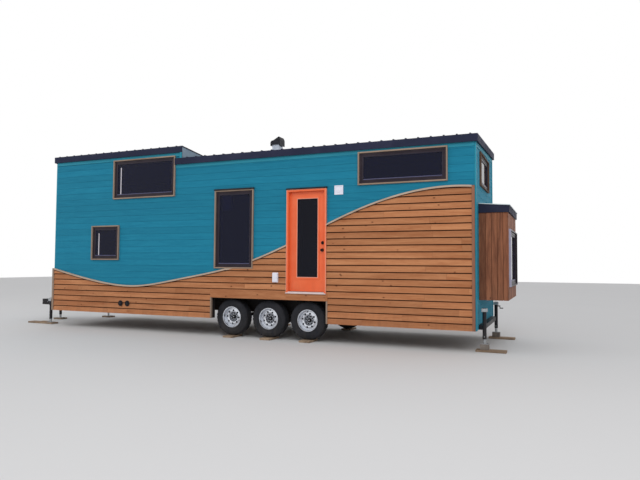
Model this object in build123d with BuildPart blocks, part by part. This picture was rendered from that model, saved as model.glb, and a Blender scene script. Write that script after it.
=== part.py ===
from build123d import *
import os

os.makedirs("parts", exist_ok=True)

# Overall body. Lengths run from the tongue-end wall, depths from the door-side wall,
# heights from the top of the boards that the wheels stand on.
house_length = 10120
house_width = 2590
wall_thickness = 100
skirt_bottom = 350
board_thickness = 38
tongue_reach = 1900

# Floor and wheel bay
tyre_radius = 382
tyre_headroom = 26
floor_thickness = 140
wheel_bay_start = 4590
wheel_bay_end = 7310

# Roofs: the main roof climbs away from the door side, the loft roof falls away from it
roof_split = 3800
roof_step_thickness = 60
main_eave_top = 3860
main_roof_rise = 0.046
loft_eave_top = 4130
loft_roof_fall = 0.10
roof_thickness = 110
eave_overhang = 60
fascia_thickness = 22
fascia_height = 140
rib_spacing = 236
rib_height = 20
rib_width = 28

# Cedar cladding under the wave
wave_heights = (1330, 1072, 962, 1143, 1392, 1829, 2402, 2813, 2888)
cladding_thickness = 45
wave_trim_height = 46
trim_proud = 52
corner_trim_width = 50

# Windows: left edge, sill, width and height of the outer trim
loft_window = (1828, 3013, 1775, 916)
far_loft_window = (1828, 2830, 1775, 840)
small_window = (1188, 1586, 837, 810)
tall_window = (4671, 1413, 953, 1670)
transom_sill = 3042
transom_height = 642
transom_door_gap = 650
transom_tail_gap = 474
tail_window = (530, 3000, 1270, 640)
window_trim_width = 45
window_frame_width = 62
window_frame_proud = 20
glass_thickness = 8

# Door, hinged on its tongue-end edge and opening inwards
door_start = 6403
door_frame_width = 875
door_frame_height = 2090
door_jamb = 31
door_sill_height = 30
door_stop = 12
door_gap = 7
door_thickness = 44
door_face_depth = 30
lite_stile = 170.5
lite_top_rail = 146
lite_bottom_rail = 283
lite_frame_width = 36
lite_frame_proud = 8
door_glass_thickness = 16
lock_backset = 66
lock_bore_radius = 26
rose_radius = 31
rose_thickness = 8
knob_rise = 865
knob_radius = 27
knob_reach = 64
deadbolt_rise = 1010
deadbolt_radius = 22
deadbolt_reach = 26
grip_neck_share = 0.5
grip_head_share = 0.45
hinge_radius = 7
hinge_pin_radius = 3
hinge_height = 90
hinge_clearance = 0.05
hinge_plate_reach = 36
hinge_plate_thickness = 3
hinge_shares = (0.1, 0.5, 0.9)

# Wheels and running gear
axle_spacing = 885
middle_axle = 5950
tyre_width = 235
tyre_inset = 60
rim_radius = 222
axle_radius = 38
spindle_radius = 30
bearing_clearance = 0.05
hub_radius = 58
hub_inset = 84
hub_cap_thickness = 26
hub_gap = 5
hub_cap_radius = 44
disc_inset = 62
disc_thickness = 9
rim_thickness = 9
rim_edge = 26
rail_height = 250
rail_width = 100
rail_inset = 410
flange_thickness = 12
web_thickness = 9
tongue_beam_height = 150
tongue_beam_width = 76
tongue_lap = 600
tongue_notch_spread = 120
tongue_notch_rise = 20
gusset_thickness = 12
gusset_length = 220
gusset_width = 360
joist_width = 60
joist_count = 12
rear_beam_height = 80
spring_reach = 350
spring_width = 60
spring_camber = 22
spring_thickness = 22
spring_seat = 4
hanger_length = 40
coupler_length = 300
coupler_width = 116
coupler_height = 150
coupler_rise = 20
ball_socket_radius = 30
ball_socket_depth = 26

# Levelling jacks
jack_tube_radius = 35
jack_leg_radius = 27
jack_clearance = 0.5
jack_foot_size = 140
jack_foot_thickness = 12
jack_travel = 55
jack_stop_gap = 17
jack_leg_length = 300
jack_cap_thickness = 20
rear_jack_foot = 100
rear_jack_top = 740
rear_jack_reach = 115
rear_jack_inset = 300
front_jack_top = 600
front_jack_reach = 460
tongue_jack_reach = 1230
tongue_jack_top = 760
jack_board_length = 300
jack_board_width = 200
wheel_board_length = 420
wheel_board_width = 236
wheel_board_shift = 60
seat_gap = 0.3

# Tail bay
bay_inset = 380
bay_depth = 515
bay_bottom = 885
bay_roof_top = 2655
bay_roof_fall = 45
bay_wall = 60
bay_overhang = 50
bay_side_overhang = 32
bay_soffit = 2475
bay_sheet = 14
bay_sheet_lip = 14
bay_threshold = 120
bay_window = (500, 1120, 1590, 1060)

# Roof vent and small wall fittings
vent_distance = 5835
vent_depth = 620
vent_base_size = 170
vent_base_height = 205
vent_hood_size = 232
vent_hood_drop = 26
vent_hood_low_reach = 0.45
vent_hood_high_reach = 0.75
vent_hood_low_side = 60
vent_hood_low_top = 112
vent_hood_high_top = 190
vent_hood_high_side = 104
vent_cap_radius = 66
vent_cap_proud = 24
vent_cap_height = 585
vent_cap_first = 2127
vent_cap_second = 2325
light_block_gap = 159
light_block_sill = 2879
light_block_width = 184
light_block_height = 182
light_block_proud = 24
light_block_bevel = 8
outlet_cover = (6086, 1138, 156, 201)
outlet_cover_proud = 42
outlet_corner_radius = 14
outlet_bevel = 7
drip_cap_height = 34
drip_cap_end = 10
drip_cap_lip = 7
drip_cap_proud = 66

overall_length = tongue_reach + house_length + bay_depth + bay_overhang
body_x = tongue_reach - overall_length / 2
door_side_y = -house_width / 2
floor_bottom = 2 * tyre_radius + tyre_headroom
floor_top = floor_bottom + floor_thickness
rail_top = floor_bottom - joist_width
rail_bottom = rail_top - rail_height
door_end = door_start + door_frame_width
transom_start = door_end + transom_door_gap
transom_width = house_length - transom_tail_gap - transom_start
transom_window = (transom_start, transom_sill, transom_width, transom_height)
light_block = (door_end + light_block_gap, light_block_sill, light_block_width, light_block_height)
door_top = floor_top + door_frame_height


def along(distance):
    return body_x + distance


def across(depth):
    return door_side_y + depth


def up(height):
    return board_thickness + height


def main_roof_top(y):
    return up(main_eave_top) + main_roof_rise * (y - across(-eave_overhang))


def loft_roof_top(y):
    return up(loft_eave_top) - loft_roof_fall * (y - across(-eave_overhang))


def save(part, name):
    part.label = name
    export_step(part, f"parts/{name}.step")


far_y = across(house_width)
inner_y = across(wall_thickness)
inner_far_y = across(house_width - wall_thickness)
step_start = roof_split - roof_step_thickness


def wall_profile(near, far, bottom, roof_top):
    """The section of a long wall, its top cut to the roof's underside."""
    return Polygon(
        (near, up(bottom)),
        (far, up(bottom)),
        (far, roof_top(far) - roof_thickness),
        (near, roof_top(near) - roof_thickness),
        align=None,
    )


def window_hole(window):
    """The hole in the wall, which is the inside of the window's trim."""
    left, sill, width, height = window
    with Locations((along(left) + width / 2, up(sill) + height / 2)):
        Rectangle(width - 2 * window_trim_width, height - 2 * window_trim_width)


# Long walls: the door side stands in three pieces round the doorway
with BuildPart() as wall:
    with BuildSketch(Plane.YZ.offset(along(0))):
        wall_profile(across(0), inner_y, skirt_bottom, loft_roof_top)
    extrude(amount=step_start)
    with BuildSketch(Plane.YZ.offset(along(step_start))):
        wall_profile(across(0), inner_y, skirt_bottom, main_roof_top)
    extrude(amount=door_start - step_start)
    with BuildSketch(Plane.XZ.offset(-inner_y)):
        for window in (loft_window, small_window, tall_window):
            window_hole(window)
        with Locations((along(wheel_bay_start), up(0))):
            Rectangle(door_start - wheel_bay_start, floor_bottom, align=(Align.MIN, Align.MIN))
    extrude(amount=wall_thickness, mode=Mode.SUBTRACT)
save(wall.part, "front_wall_left")

with BuildPart() as wall:
    with BuildSketch(Plane.YZ.offset(along(door_start))):
        wall_profile(across(0), inner_y, door_top, main_roof_top)
    extrude(amount=door_frame_width)
save(wall.part, "front_wall_over_door")

with BuildPart() as wall:
    with BuildSketch(Plane.YZ.offset(along(door_end))):
        wall_profile(across(0), inner_y, skirt_bottom, main_roof_top)
    extrude(amount=house_length - door_end)
    with BuildSketch(Plane.XZ.offset(-inner_y)):
        window_hole(transom_window)
        with Locations((along(door_end), up(0))):
            Rectangle(wheel_bay_end - door_end, floor_bottom, align=(Align.MIN, Align.MIN))
    extrude(amount=wall_thickness, mode=Mode.SUBTRACT)
save(wall.part, "front_wall_right")

with BuildPart() as wall:
    with BuildSketch(Plane.YZ.offset(along(0))):
        wall_profile(inner_far_y, far_y, skirt_bottom, loft_roof_top)
    extrude(amount=roof_split)
    with BuildSketch(Plane.YZ.offset(along(roof_split))):
        wall_profile(inner_far_y, far_y, skirt_bottom, main_roof_top)
    extrude(amount=house_length - roof_split)
    with BuildSketch(Plane.XZ.offset(-far_y)):
        for window in (far_loft_window, small_window, tall_window, transom_window):
            window_hole(window)
        with Locations((along(wheel_bay_start), up(0))):
            Rectangle(wheel_bay_end - wheel_bay_start, floor_bottom, align=(Align.MIN, Align.MIN))
    extrude(amount=wall_thickness, mode=Mode.SUBTRACT)
save(wall.part, "back_wall")

# End walls stand between the long walls
tongue_notch_top = rail_bottom + tongue_notch_rise
tongue_notch_width = house_width - 2 * (rail_inset - tongue_notch_spread)
with BuildPart() as wall:
    with BuildSketch(Plane.YZ.offset(along(0))):
        wall_profile(inner_y, inner_far_y, skirt_bottom, loft_roof_top)
        with Locations((0, up(0))):
            Rectangle(tongue_notch_width, tongue_notch_top,
                      align=(Align.CENTER, Align.MIN), mode=Mode.SUBTRACT)
    extrude(amount=wall_thickness)
save(wall.part, "tongue_end_wall")

bay_near = across(bay_inset)
bay_width = house_width - 2 * bay_inset
bay_opening_bottom = floor_top + bay_threshold
bay_opening_top = bay_soffit - bay_wall
with BuildPart() as wall:
    with BuildSketch(Plane.YZ.offset(along(house_length - wall_thickness))):
        wall_profile(inner_y, inner_far_y, skirt_bottom, main_roof_top)
        left, sill, width, height = tail_window
        with Locations((across(left) + width / 2, up(sill) + height / 2)):
            Rectangle(width - 2 * window_trim_width, height - 2 * window_trim_width, mode=Mode.SUBTRACT)
        with Locations((0, up(bay_opening_bottom))):
            Rectangle(bay_width - 2 * bay_wall, bay_opening_top - bay_opening_bottom,
                      align=(Align.CENTER, Align.MIN), mode=Mode.SUBTRACT)
    extrude(amount=wall_thickness)
save(wall.part, "tail_end_wall")

# Floor deck, with a tab out under the doorway
with BuildPart() as floor:
    with BuildSketch(Plane.XY.offset(up(floor_bottom))):
        with Locations((along(wall_thickness), inner_y)):
            Rectangle(house_length - 2 * wall_thickness, house_width - 2 * wall_thickness,
                      align=(Align.MIN, Align.MIN))
        with Locations((along(door_start), across(0))):
            Rectangle(door_frame_width, wall_thickness, align=(Align.MIN, Align.MIN))
    extrude(amount=floor_thickness)
save(floor.part, "floor")

# Roofs: a sloping deck carrying raised seams that run down the slope
eave_y = across(fascia_thickness - eave_overhang)
back_eave_y = far_y + eave_overhang - fascia_thickness


def roof_profile(roof_top, drop, rise):
    """A band that follows the roof's slope from eave to eave."""
    return Polygon(
        (eave_y, roof_top(eave_y) - drop),
        (back_eave_y, roof_top(back_eave_y) - drop),
        (back_eave_y, roof_top(back_eave_y) + rise),
        (eave_y, roof_top(eave_y) + rise),
        align=None,
    )


def ribbed_roof(start, end, roof_top):
    with BuildPart() as roof:
        with BuildSketch(Plane.YZ.offset(start)):
            roof_profile(roof_top, roof_thickness, 0)
        extrude(amount=end - start)
        ribs = int((end - start - rib_width) // rib_spacing)
        margin = (end - start - ribs * rib_spacing) / 2
        for number in range(ribs + 1):
            with BuildSketch(Plane.YZ.offset(start + margin + number * rib_spacing - rib_width / 2)):
                roof_profile(roof_top, rib_height, rib_height)
            extrude(amount=rib_width)
    return roof.part


loft_roof_start = along(fascia_thickness - eave_overhang)
main_roof_end = along(house_length + eave_overhang - fascia_thickness)
save(ribbed_roof(loft_roof_start, along(step_start), loft_roof_top), "loft_roof")
save(ribbed_roof(along(roof_split), main_roof_end, main_roof_top), "main_roof")

# Step between the two roofs, a bulkhead from the lower underside to the upper top
outer_eave_y = across(-eave_overhang)
outer_back_y = far_y + eave_overhang


def area_below(roof_top, drop, mode=Mode.ADD):
    """The section from the floor up to a line that follows a roof's slope."""
    Polygon(
        (outer_eave_y, up(floor_top)),
        (outer_back_y, up(floor_top)),
        (outer_back_y, roof_top(outer_back_y) - drop),
        (outer_eave_y, roof_top(outer_eave_y) - drop),
        align=None,
        mode=mode,
    )


with BuildPart() as step:
    with BuildSketch(Plane.YZ.offset(along(step_start))):
        area_below(main_roof_top, 0)
        area_below(loft_roof_top, 0)
        with BuildSketch(Plane.XY, mode=Mode.PRIVATE) as lowest:
            area_below(main_roof_top, roof_thickness)
            area_below(loft_roof_top, roof_thickness, Mode.INTERSECT)
        add(lowest.sketch, mode=Mode.SUBTRACT)
    extrude(amount=roof_step_thickness)
save(step.part, "roof_step")

# Fascia boards round each roof, open where the roofs meet
with BuildPart() as fascia:
    for start, end, roof_top, rake in (
        (-eave_overhang, step_start, loft_roof_top, -eave_overhang),
        (roof_split, house_length + eave_overhang, main_roof_top,
         house_length + eave_overhang - fascia_thickness),
    ):
        for y in (outer_eave_y, outer_back_y - fascia_thickness):
            with BuildSketch(Plane.YZ.offset(along(start))):
                Polygon(
                    (y, roof_top(y) - fascia_height),
                    (y + fascia_thickness, roof_top(y + fascia_thickness) - fascia_height),
                    (y + fascia_thickness, roof_top(y + fascia_thickness)),
                    (y, roof_top(y)),
                    align=None,
                )
            extrude(amount=end - start)
        with BuildSketch(Plane.YZ.offset(along(rake))):
            Polygon(
                (outer_eave_y, roof_top(outer_eave_y) - fascia_height),
                (outer_back_y, roof_top(outer_back_y) - fascia_height),
                (outer_back_y, roof_top(outer_back_y)),
                (outer_eave_y, roof_top(outer_eave_y)),
                align=None,
            )
        extrude(amount=fascia_thickness)
save(fascia.part, "fascia")

# Cedar cladding: everything under the wave, less the door, the wheel bay and the windows
wave_step = house_length / (len(wave_heights) - 1)
wave_points = [(along(i * wave_step), up(height)) for i, height in enumerate(wave_heights)]


def wave_area(lift):
    """The area under the wave, lifted by a trim's height, from end to end."""
    points = [(x, z + lift) for x, z in wave_points]
    with BuildLine() as edge:
        wave = Spline(*points)
        Polyline(wave @ 1, (points[-1][0], up(skirt_bottom)), (points[0][0], up(skirt_bottom)), wave @ 0)
    make_face(edge.line)


def area_cut(left, right, bottom, top):
    with Locations((along(left), up(bottom))):
        Rectangle(right - left, top - bottom, align=(Align.MIN, Align.MIN), mode=Mode.SUBTRACT)


def tall_window_cut():
    left, sill, width, height = tall_window
    area_cut(left, left + width, sill, sill + height)


beyond = 400
cladding_end = house_length - corner_trim_width
with BuildPart() as cladding:
    with BuildSketch(Plane.XZ.offset(-across(0))):
        wave_area(0)
        area_cut(door_start, house_length + beyond, 0, main_eave_top)
        area_cut(wheel_bay_start, wheel_bay_end, 0, floor_bottom)
        tall_window_cut()
    extrude(amount=cladding_thickness)
save(cladding.part, "cladding_left")

with BuildPart() as cladding:
    with BuildSketch(Plane.XZ.offset(-across(0))):
        wave_area(0)
        area_cut(-beyond, door_end, 0, main_eave_top)
        area_cut(cladding_end, house_length + beyond, 0, main_eave_top)
        area_cut(wheel_bay_start, wheel_bay_end, 0, floor_bottom)
    extrude(amount=cladding_thickness)
save(cladding.part, "cladding_right")

with BuildPart() as cladding:
    with BuildSketch(Plane.XZ.offset(-across(0))):
        with Locations((along(door_start), up(floor_bottom))):
            Rectangle(door_frame_width, floor_thickness, align=(Align.MIN, Align.MIN))
    extrude(amount=cladding_thickness)
save(cladding.part, "cladding_under_door")

with BuildPart() as cladding:
    with BuildSketch(Plane.XZ.offset(-far_y - cladding_thickness)):
        wave_area(0)
        area_cut(cladding_end, house_length + beyond, 0, main_eave_top)
        area_cut(wheel_bay_start, wheel_bay_end, 0, floor_bottom)
        tall_window_cut()
    extrude(amount=cladding_thickness)
    with BuildSketch(Plane.YZ.offset(along(-cladding_thickness))):
        with Locations((0, up(skirt_bottom))):
            Rectangle(house_width - 2 * corner_trim_width, wave_heights[0] - skirt_bottom,
                      align=(Align.CENTER, Align.MIN))
        with Locations((0, up(0))):
            Rectangle(tongue_notch_width, tongue_notch_top,
                      align=(Align.CENTER, Align.MIN), mode=Mode.SUBTRACT)
    extrude(amount=cladding_thickness)
save(cladding.part, "back_cladding")

# Trims: a strip that rides the wave, boards at the corners
with BuildPart() as trims:
    for side in ("door", "far"):
        face = Plane.XZ.offset(-across(0)) if side == "door" else Plane.XZ.offset(-far_y - trim_proud)
        with BuildSketch(face):
            wave_area(wave_trim_height)
            with BuildSketch(Plane.XY, mode=Mode.PRIVATE) as below:
                wave_area(0)
            add(below.sketch, mode=Mode.SUBTRACT)
            if side == "door":
                area_cut(door_start, door_end, 0, main_eave_top)
            tall_window_cut()
            area_cut(cladding_end, house_length + beyond, 0, main_eave_top)
        extrude(amount=trim_proud)
    with BuildSketch(Plane.YZ.offset(along(-trim_proud))):
        with Locations((0, up(wave_heights[0]))):
            Rectangle(house_width - 2 * corner_trim_width, wave_trim_height,
                      align=(Align.CENTER, Align.MIN))
    extrude(amount=trim_proud)
save(trims.part, "wave_trims")

with BuildPart() as trims:
    for y in (across(-trim_proud), far_y):
        with BuildSketch(Plane.XY.offset(up(skirt_bottom))):
            with Locations((along(cladding_end), y)):
                Rectangle(corner_trim_width, trim_proud, align=(Align.MIN, Align.MIN))
        extrude(amount=wave_heights[-1] + wave_trim_height - skirt_bottom)
    for y in (across(-trim_proud), far_y - corner_trim_width):
        with BuildSketch(Plane.XY.offset(up(skirt_bottom))):
            with Locations((along(-trim_proud), y)):
                Rectangle(trim_proud, trim_proud + corner_trim_width, align=(Align.MIN, Align.MIN))
        extrude(amount=wave_heights[0] + wave_trim_height - skirt_bottom)
save(trims.part, "corner_trims")

# Windows, on both long walls, in the tail wall and in the bay
glazing = [("door", window) for window in (loft_window, small_window, tall_window, transom_window)]
glazing += [("far", window) for window in (far_loft_window, small_window, tall_window, transom_window)]
glazing += [("tail", tail_window), ("bay", bay_window)]


def facing(side, proud):
    """The plane that lies a given distance out from a wall's face."""
    planes = {
        "door": Plane.XZ.offset(proud - across(0)),
        "far": Plane.XZ.offset(-far_y - proud),
        "tail": Plane.YZ.offset(along(house_length) + proud),
        "bay": Plane.YZ.offset(along(house_length + bay_depth) + proud),
    }
    return planes[side]


def window_centre(side, window):
    left, sill, width, height = window
    middle = left + width / 2
    return (along(middle) if side in ("door", "far") else across(middle)), up(sill + height / 2)


def extrude_inwards(side, depth):
    extrude(amount=depth if side == "far" else -depth)


def ring(outer_width, outer_height, band):
    Rectangle(outer_width, outer_height)
    Rectangle(outer_width - 2 * band, outer_height - 2 * band, mode=Mode.SUBTRACT)


with BuildPart() as trims:
    for side, window in glazing:
        with BuildSketch(facing(side, trim_proud)):
            with Locations(window_centre(side, window)):
                ring(window[2], window[3], window_trim_width)
        extrude_inwards(side, trim_proud)
save(trims.part, "window_trims")

with BuildPart() as frames:
    for side, window in glazing:
        width, height = [size - 2 * window_trim_width for size in window[2:]]
        with BuildSketch(facing(side, window_frame_proud)):
            with Locations(window_centre(side, window)):
                ring(width, height, window_frame_width)
        extrude_inwards(side, window_frame_proud + bay_wall)
save(frames.part, "window_frames")

with BuildPart() as glass:
    for side, window in glazing:
        border = 2 * (window_trim_width + window_frame_width)
        with BuildSketch(facing(side, 0)):
            with Locations(window_centre(side, window)):
                Rectangle(window[2] - border, window[3] - border)
        extrude_inwards(side, glass_thickness)
save(glass.part, "window_glass")

# Door frame: jambs and head with a stop outside the leaf, standing on a sill
sill_top = floor_top + door_sill_height
opening_width = door_frame_width - 2 * door_jamb
opening_top = door_top - door_jamb
leaf_width = opening_width - 2 * door_gap
leaf_bottom = sill_top + door_gap
leaf_height = opening_top - door_gap - leaf_bottom
leaf_start = door_start + door_jamb + door_gap
leaf_end = leaf_start + leaf_width
leaf_y = across(door_face_depth)
leaf_inner_y = leaf_y + door_thickness
stop_y = leaf_y - door_gap
door_middle = along(door_start + door_frame_width / 2)


def portal(width, top):
    """The frame's face round an opening that runs down to the sill."""
    with Locations((door_middle, up(floor_top))):
        Rectangle(door_frame_width, door_frame_height, align=(Align.CENTER, Align.MIN))
        Rectangle(width, top - floor_top, align=(Align.CENTER, Align.MIN), mode=Mode.SUBTRACT)


with BuildPart() as frame:
    with BuildSketch(Plane.XZ.offset(-stop_y)):
        portal(opening_width - 2 * door_stop, opening_top - door_stop)
    extrude(amount=stop_y - across(-trim_proud))
    with BuildSketch(Plane.XZ.offset(-leaf_inner_y)):
        portal(opening_width, opening_top)
    extrude(amount=leaf_inner_y - stop_y)
save(frame.part, "door_frame")

with BuildPart() as sill:
    with BuildSketch(Plane.XY.offset(up(floor_top))):
        with Locations((door_middle, across(-trim_proud))):
            Rectangle(opening_width - 2 * door_stop, stop_y - across(-trim_proud),
                      align=(Align.CENTER, Align.MIN))
        with Locations((door_middle, stop_y)):
            Rectangle(opening_width, leaf_inner_y - stop_y, align=(Align.CENTER, Align.MIN))
    extrude(amount=door_sill_height)
save(sill.part, "door_sill")

# Door leaf with a full-height lite in a raised frame, and bores for the knob and the deadbolt
lite_width = leaf_width - 2 * lite_stile
lite_height = leaf_height - lite_top_rail - lite_bottom_rail
lite_middle_z = up(leaf_bottom + lite_bottom_rail + lite_height / 2)
lock_x = along(leaf_end - lock_backset)
lock_heights = (up(floor_top + knob_rise), up(floor_top + deadbolt_rise))
with BuildPart() as leaf:
    with BuildSketch(Plane.XZ.offset(-leaf_inner_y)):
        with Locations((along(leaf_start), up(leaf_bottom))):
            Rectangle(leaf_width, leaf_height, align=(Align.MIN, Align.MIN))
    extrude(amount=door_thickness)
    with BuildSketch(Plane.XZ.offset(-leaf_inner_y - lite_frame_proud)):
        with Locations((door_middle, lite_middle_z)):
            Rectangle(lite_width + 2 * lite_frame_width, lite_height + 2 * lite_frame_width)
    extrude(amount=door_thickness + 2 * lite_frame_proud)
    with BuildSketch(Plane.XZ.offset(-leaf_inner_y - lite_frame_proud)):
        with Locations((door_middle, lite_middle_z)):
            Rectangle(lite_width, lite_height)
        with Locations(*[(lock_x, z) for z in lock_heights]):
            Circle(lock_bore_radius)
    extrude(amount=door_thickness + 2 * lite_frame_proud, mode=Mode.SUBTRACT)
save(leaf.part, "door_leaf")

with BuildPart() as glass:
    with BuildSketch(Plane.XZ.offset(-leaf_y - (door_thickness + door_glass_thickness) / 2)):
        with Locations((door_middle, lite_middle_z)):
            Rectangle(lite_width, lite_height)
    extrude(amount=door_glass_thickness)
save(glass.part, "door_glass")

# Door hardware: a spindle through each bore between two roses, with a grip on each side,
# and the butt hinges' upper knuckles and plates
hinge_x = along(leaf_start) - door_gap / 2
hinge_y = leaf_inner_y + hinge_radius
hinge_centres = [up(leaf_bottom + share * leaf_height) for share in hinge_shares]
knuckle_height = (hinge_height - seat_gap) / 2
leaf_middle_y = leaf_y + door_thickness / 2
with BuildPart() as hardware:
    for z, grip, reach in ((lock_heights[0], knob_radius, knob_reach),
                           (lock_heights[1], deadbolt_radius, deadbolt_reach)):
        for face_y, outwards in ((leaf_y, -1), (leaf_inner_y, 1)):
            rose_y = face_y + outwards * rose_thickness
            head_y = face_y + outwards * reach * (1 - grip_head_share)
            tip_y = face_y + outwards * reach
            with BuildSketch(Plane.YZ.offset(lock_x)):
                Polygon(
                    (leaf_middle_y, z),
                    (leaf_middle_y, z + lock_bore_radius),
                    (face_y, z + lock_bore_radius),
                    (face_y, z + rose_radius),
                    (rose_y, z + rose_radius),
                    (rose_y, z + grip * grip_neck_share),
                    (head_y, z + grip * grip_neck_share),
                    (head_y, z + grip),
                    (tip_y, z + grip),
                    (tip_y, z),
                    align=None,
                )
            revolve(axis=Axis((lock_x, leaf_middle_y, z), (0, 1, 0)))
    for z in hinge_centres:
        with BuildSketch(Plane.XY.offset(z + hinge_height / 2 - knuckle_height)):
            with Locations((hinge_x, hinge_y)):
                Circle(hinge_radius)
            with Locations((hinge_x + door_gap / 2, hinge_y)):
                Rectangle(hinge_plate_thickness, hinge_plate_reach, align=(Align.MAX, Align.MAX))
            with Locations((hinge_x, hinge_y)):
                Circle(hinge_pin_radius + hinge_clearance, mode=Mode.SUBTRACT)
        extrude(amount=knuckle_height)
save(hardware.part, "door_hardware")

# Hinge pins: the frame's lower knuckles and plates, each with the pin for the knuckle above
with BuildPart() as hinges:
    for z in hinge_centres:
        with BuildSketch(Plane.XY.offset(z - hinge_height / 2)):
            with Locations((hinge_x, hinge_y)):
                Circle(hinge_radius)
            with Locations((hinge_x - door_gap / 2, hinge_y)):
                Rectangle(hinge_plate_thickness, hinge_plate_reach, align=(Align.MIN, Align.MAX))
        extrude(amount=knuckle_height)
        with BuildSketch(Plane.XY.offset(z - hinge_height / 2)):
            with Locations((hinge_x, hinge_y)):
                Circle(hinge_pin_radius)
        extrude(amount=hinge_height)
save(hinges.part, "hinge_pins")

# Drip caps over the door and the tall window
with BuildPart() as caps:
    for left, width, base in (
        (door_start, door_frame_width, door_top),
        (tall_window[0], tall_window[2], tall_window[1] + tall_window[3]),
    ):
        with BuildSketch(Plane.YZ.offset(along(left - drip_cap_end))):
            Polygon(
                (across(0), up(base)),
                (across(-drip_cap_proud), up(base)),
                (across(-drip_cap_proud), up(base + drip_cap_lip)),
                (across(0), up(base + drip_cap_height)),
                align=None,
            )
        extrude(amount=width + 2 * drip_cap_end)
save(caps.part, "drip_caps")

# Small fittings on the door side
with BuildPart() as block:
    left, sill, width, height = light_block
    with BuildSketch(Plane.XZ.offset(-across(0))):
        with Locations((along(left) + width / 2, up(sill) + height / 2)):
            Rectangle(width, height)
    extrude(amount=light_block_proud)
    chamfer(block.faces().sort_by(Axis.Y)[0].edges(), light_block_bevel)
save(block.part, "light_block")

with BuildPart() as cover:
    left, sill, width, height = outlet_cover
    with BuildSketch(Plane.XZ.offset(-across(-cladding_thickness))):
        with Locations((along(left) + width / 2, up(sill) + height / 2)):
            RectangleRounded(width, height, outlet_corner_radius)
    extrude(amount=outlet_cover_proud)
    chamfer(cover.faces().sort_by(Axis.Y)[0].edges(), outlet_bevel)
save(cover.part, "outlet_cover")

with BuildPart() as vents:
    with BuildSketch(Plane.XZ.offset(-across(-cladding_thickness))):
        with Locations(*[(along(x), up(vent_cap_height)) for x in (vent_cap_first, vent_cap_second)]):
            Circle(vent_cap_radius)
    extrude(amount=vent_cap_proud)
save(vents.part, "side_vents")

# Roof vent: a curb on the ribs with a rounded hood that rises towards the tail
vent_x = along(vent_distance)
vent_y = across(vent_depth)
seam_top = main_roof_top(vent_y) + rib_height
curb_half = vent_base_size / 2
curb_top = seam_top + vent_base_height
with BuildPart() as curb:
    with BuildSketch(Plane.YZ.offset(vent_x - curb_half)):
        Polygon(
            (vent_y - curb_half, seam_top - main_roof_rise * curb_half),
            (vent_y + curb_half, seam_top + main_roof_rise * curb_half),
            (vent_y + curb_half, curb_top),
            (vent_y - curb_half, curb_top),
            align=None,
        )
    extrude(amount=vent_base_size)
save(curb.part, "vent_curb")

hood_half = vent_hood_size / 2
hood_foot = curb_top - vent_hood_drop
foot_half = (hood_half + curb_half) / 2
hood_start = (vent_x - hood_half, hood_foot)
hood_low_shoulder = (vent_x - hood_half, hood_foot + vent_hood_low_side)
hood_low_top = (vent_x - vent_hood_low_reach * hood_half, hood_foot + vent_hood_low_top)
hood_high_top = (vent_x + vent_hood_high_reach * hood_half, hood_foot + vent_hood_high_top)
hood_high_shoulder = (vent_x + hood_half, hood_foot + vent_hood_high_side)
hood_end = (vent_x + hood_half, hood_foot)
with BuildPart() as hood:
    with BuildSketch(Plane.XZ.offset(-vent_y - hood_half)):
        with BuildLine():
            Line(hood_start, hood_low_shoulder)
            TangentArc(hood_low_shoulder, hood_low_top, tangent=(0, 1))
            Line(hood_low_top, hood_high_top)
            TangentArc(hood_high_shoulder, hood_high_top, tangent=(0, 1))
            Line(hood_high_shoulder, hood_end)
            Polyline(
                hood_end,
                (vent_x + foot_half, hood_foot),
                (vent_x + curb_half, curb_top),
                (vent_x - curb_half, curb_top),
                (vent_x - foot_half, hood_foot),
                hood_start,
            )
        make_face()
    extrude(amount=vent_hood_size)
save(hood.part, "vent_hood")

# Tail bay: a boarded box open to the house, with a roof that sheds away from it
bay_start = along(house_length)
bay_end = along(house_length + bay_depth)
with BuildPart() as bay:
    with BuildSketch(Plane.XY.offset(up(bay_bottom))):
        with Locations((bay_start, 0)):
            Rectangle(bay_depth, bay_width, align=(Align.MIN, Align.CENTER))
    extrude(amount=bay_soffit - bay_bottom)
    with BuildSketch(Plane.XY.offset(up(bay_opening_bottom))):
        with Locations((bay_start, 0)):
            Rectangle(bay_depth - bay_wall, bay_width - 2 * bay_wall, align=(Align.MIN, Align.CENTER))
    extrude(amount=bay_opening_top - bay_opening_bottom, mode=Mode.SUBTRACT)
    with BuildSketch(facing("bay", 0)):
        with Locations(window_centre("bay", bay_window)):
            Rectangle(bay_window[2] - 2 * window_trim_width, bay_window[3] - 2 * window_trim_width)
    extrude(amount=-bay_wall, mode=Mode.SUBTRACT)
save(bay.part, "bay_walls")

bay_eave = bay_end + bay_overhang - bay_sheet_lip
bay_slope = bay_roof_fall / (bay_depth + bay_overhang)


def bay_top(x):
    return up(bay_roof_top) - bay_slope * (x - bay_start)


with BuildPart() as roof:
    with BuildSketch(Plane.XZ.offset(-bay_width / 2 - bay_side_overhang)):
        Polygon(
            (bay_start, up(bay_soffit)),
            (bay_eave, up(bay_soffit)),
            (bay_eave, bay_top(bay_eave) - bay_sheet),
            (bay_start, bay_top(bay_start) - bay_sheet),
            align=None,
        )
    extrude(amount=bay_width + 2 * bay_side_overhang)
save(roof.part, "bay_roof")

bay_sheet_side = bay_width / 2 + bay_side_overhang + bay_sheet_lip
bay_sheet_end = bay_end + bay_overhang
with BuildPart() as sheet:
    with BuildSketch(Plane.XZ.offset(-bay_sheet_side)):
        Polygon(
            (bay_start, bay_top(bay_start) - bay_sheet),
            (bay_sheet_end, bay_top(bay_sheet_end) - bay_sheet),
            (bay_sheet_end, bay_top(bay_sheet_end)),
            (bay_start, bay_top(bay_start)),
            align=None,
        )
    extrude(amount=2 * bay_sheet_side)
save(sheet.part, "bay_roof_sheet")

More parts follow.
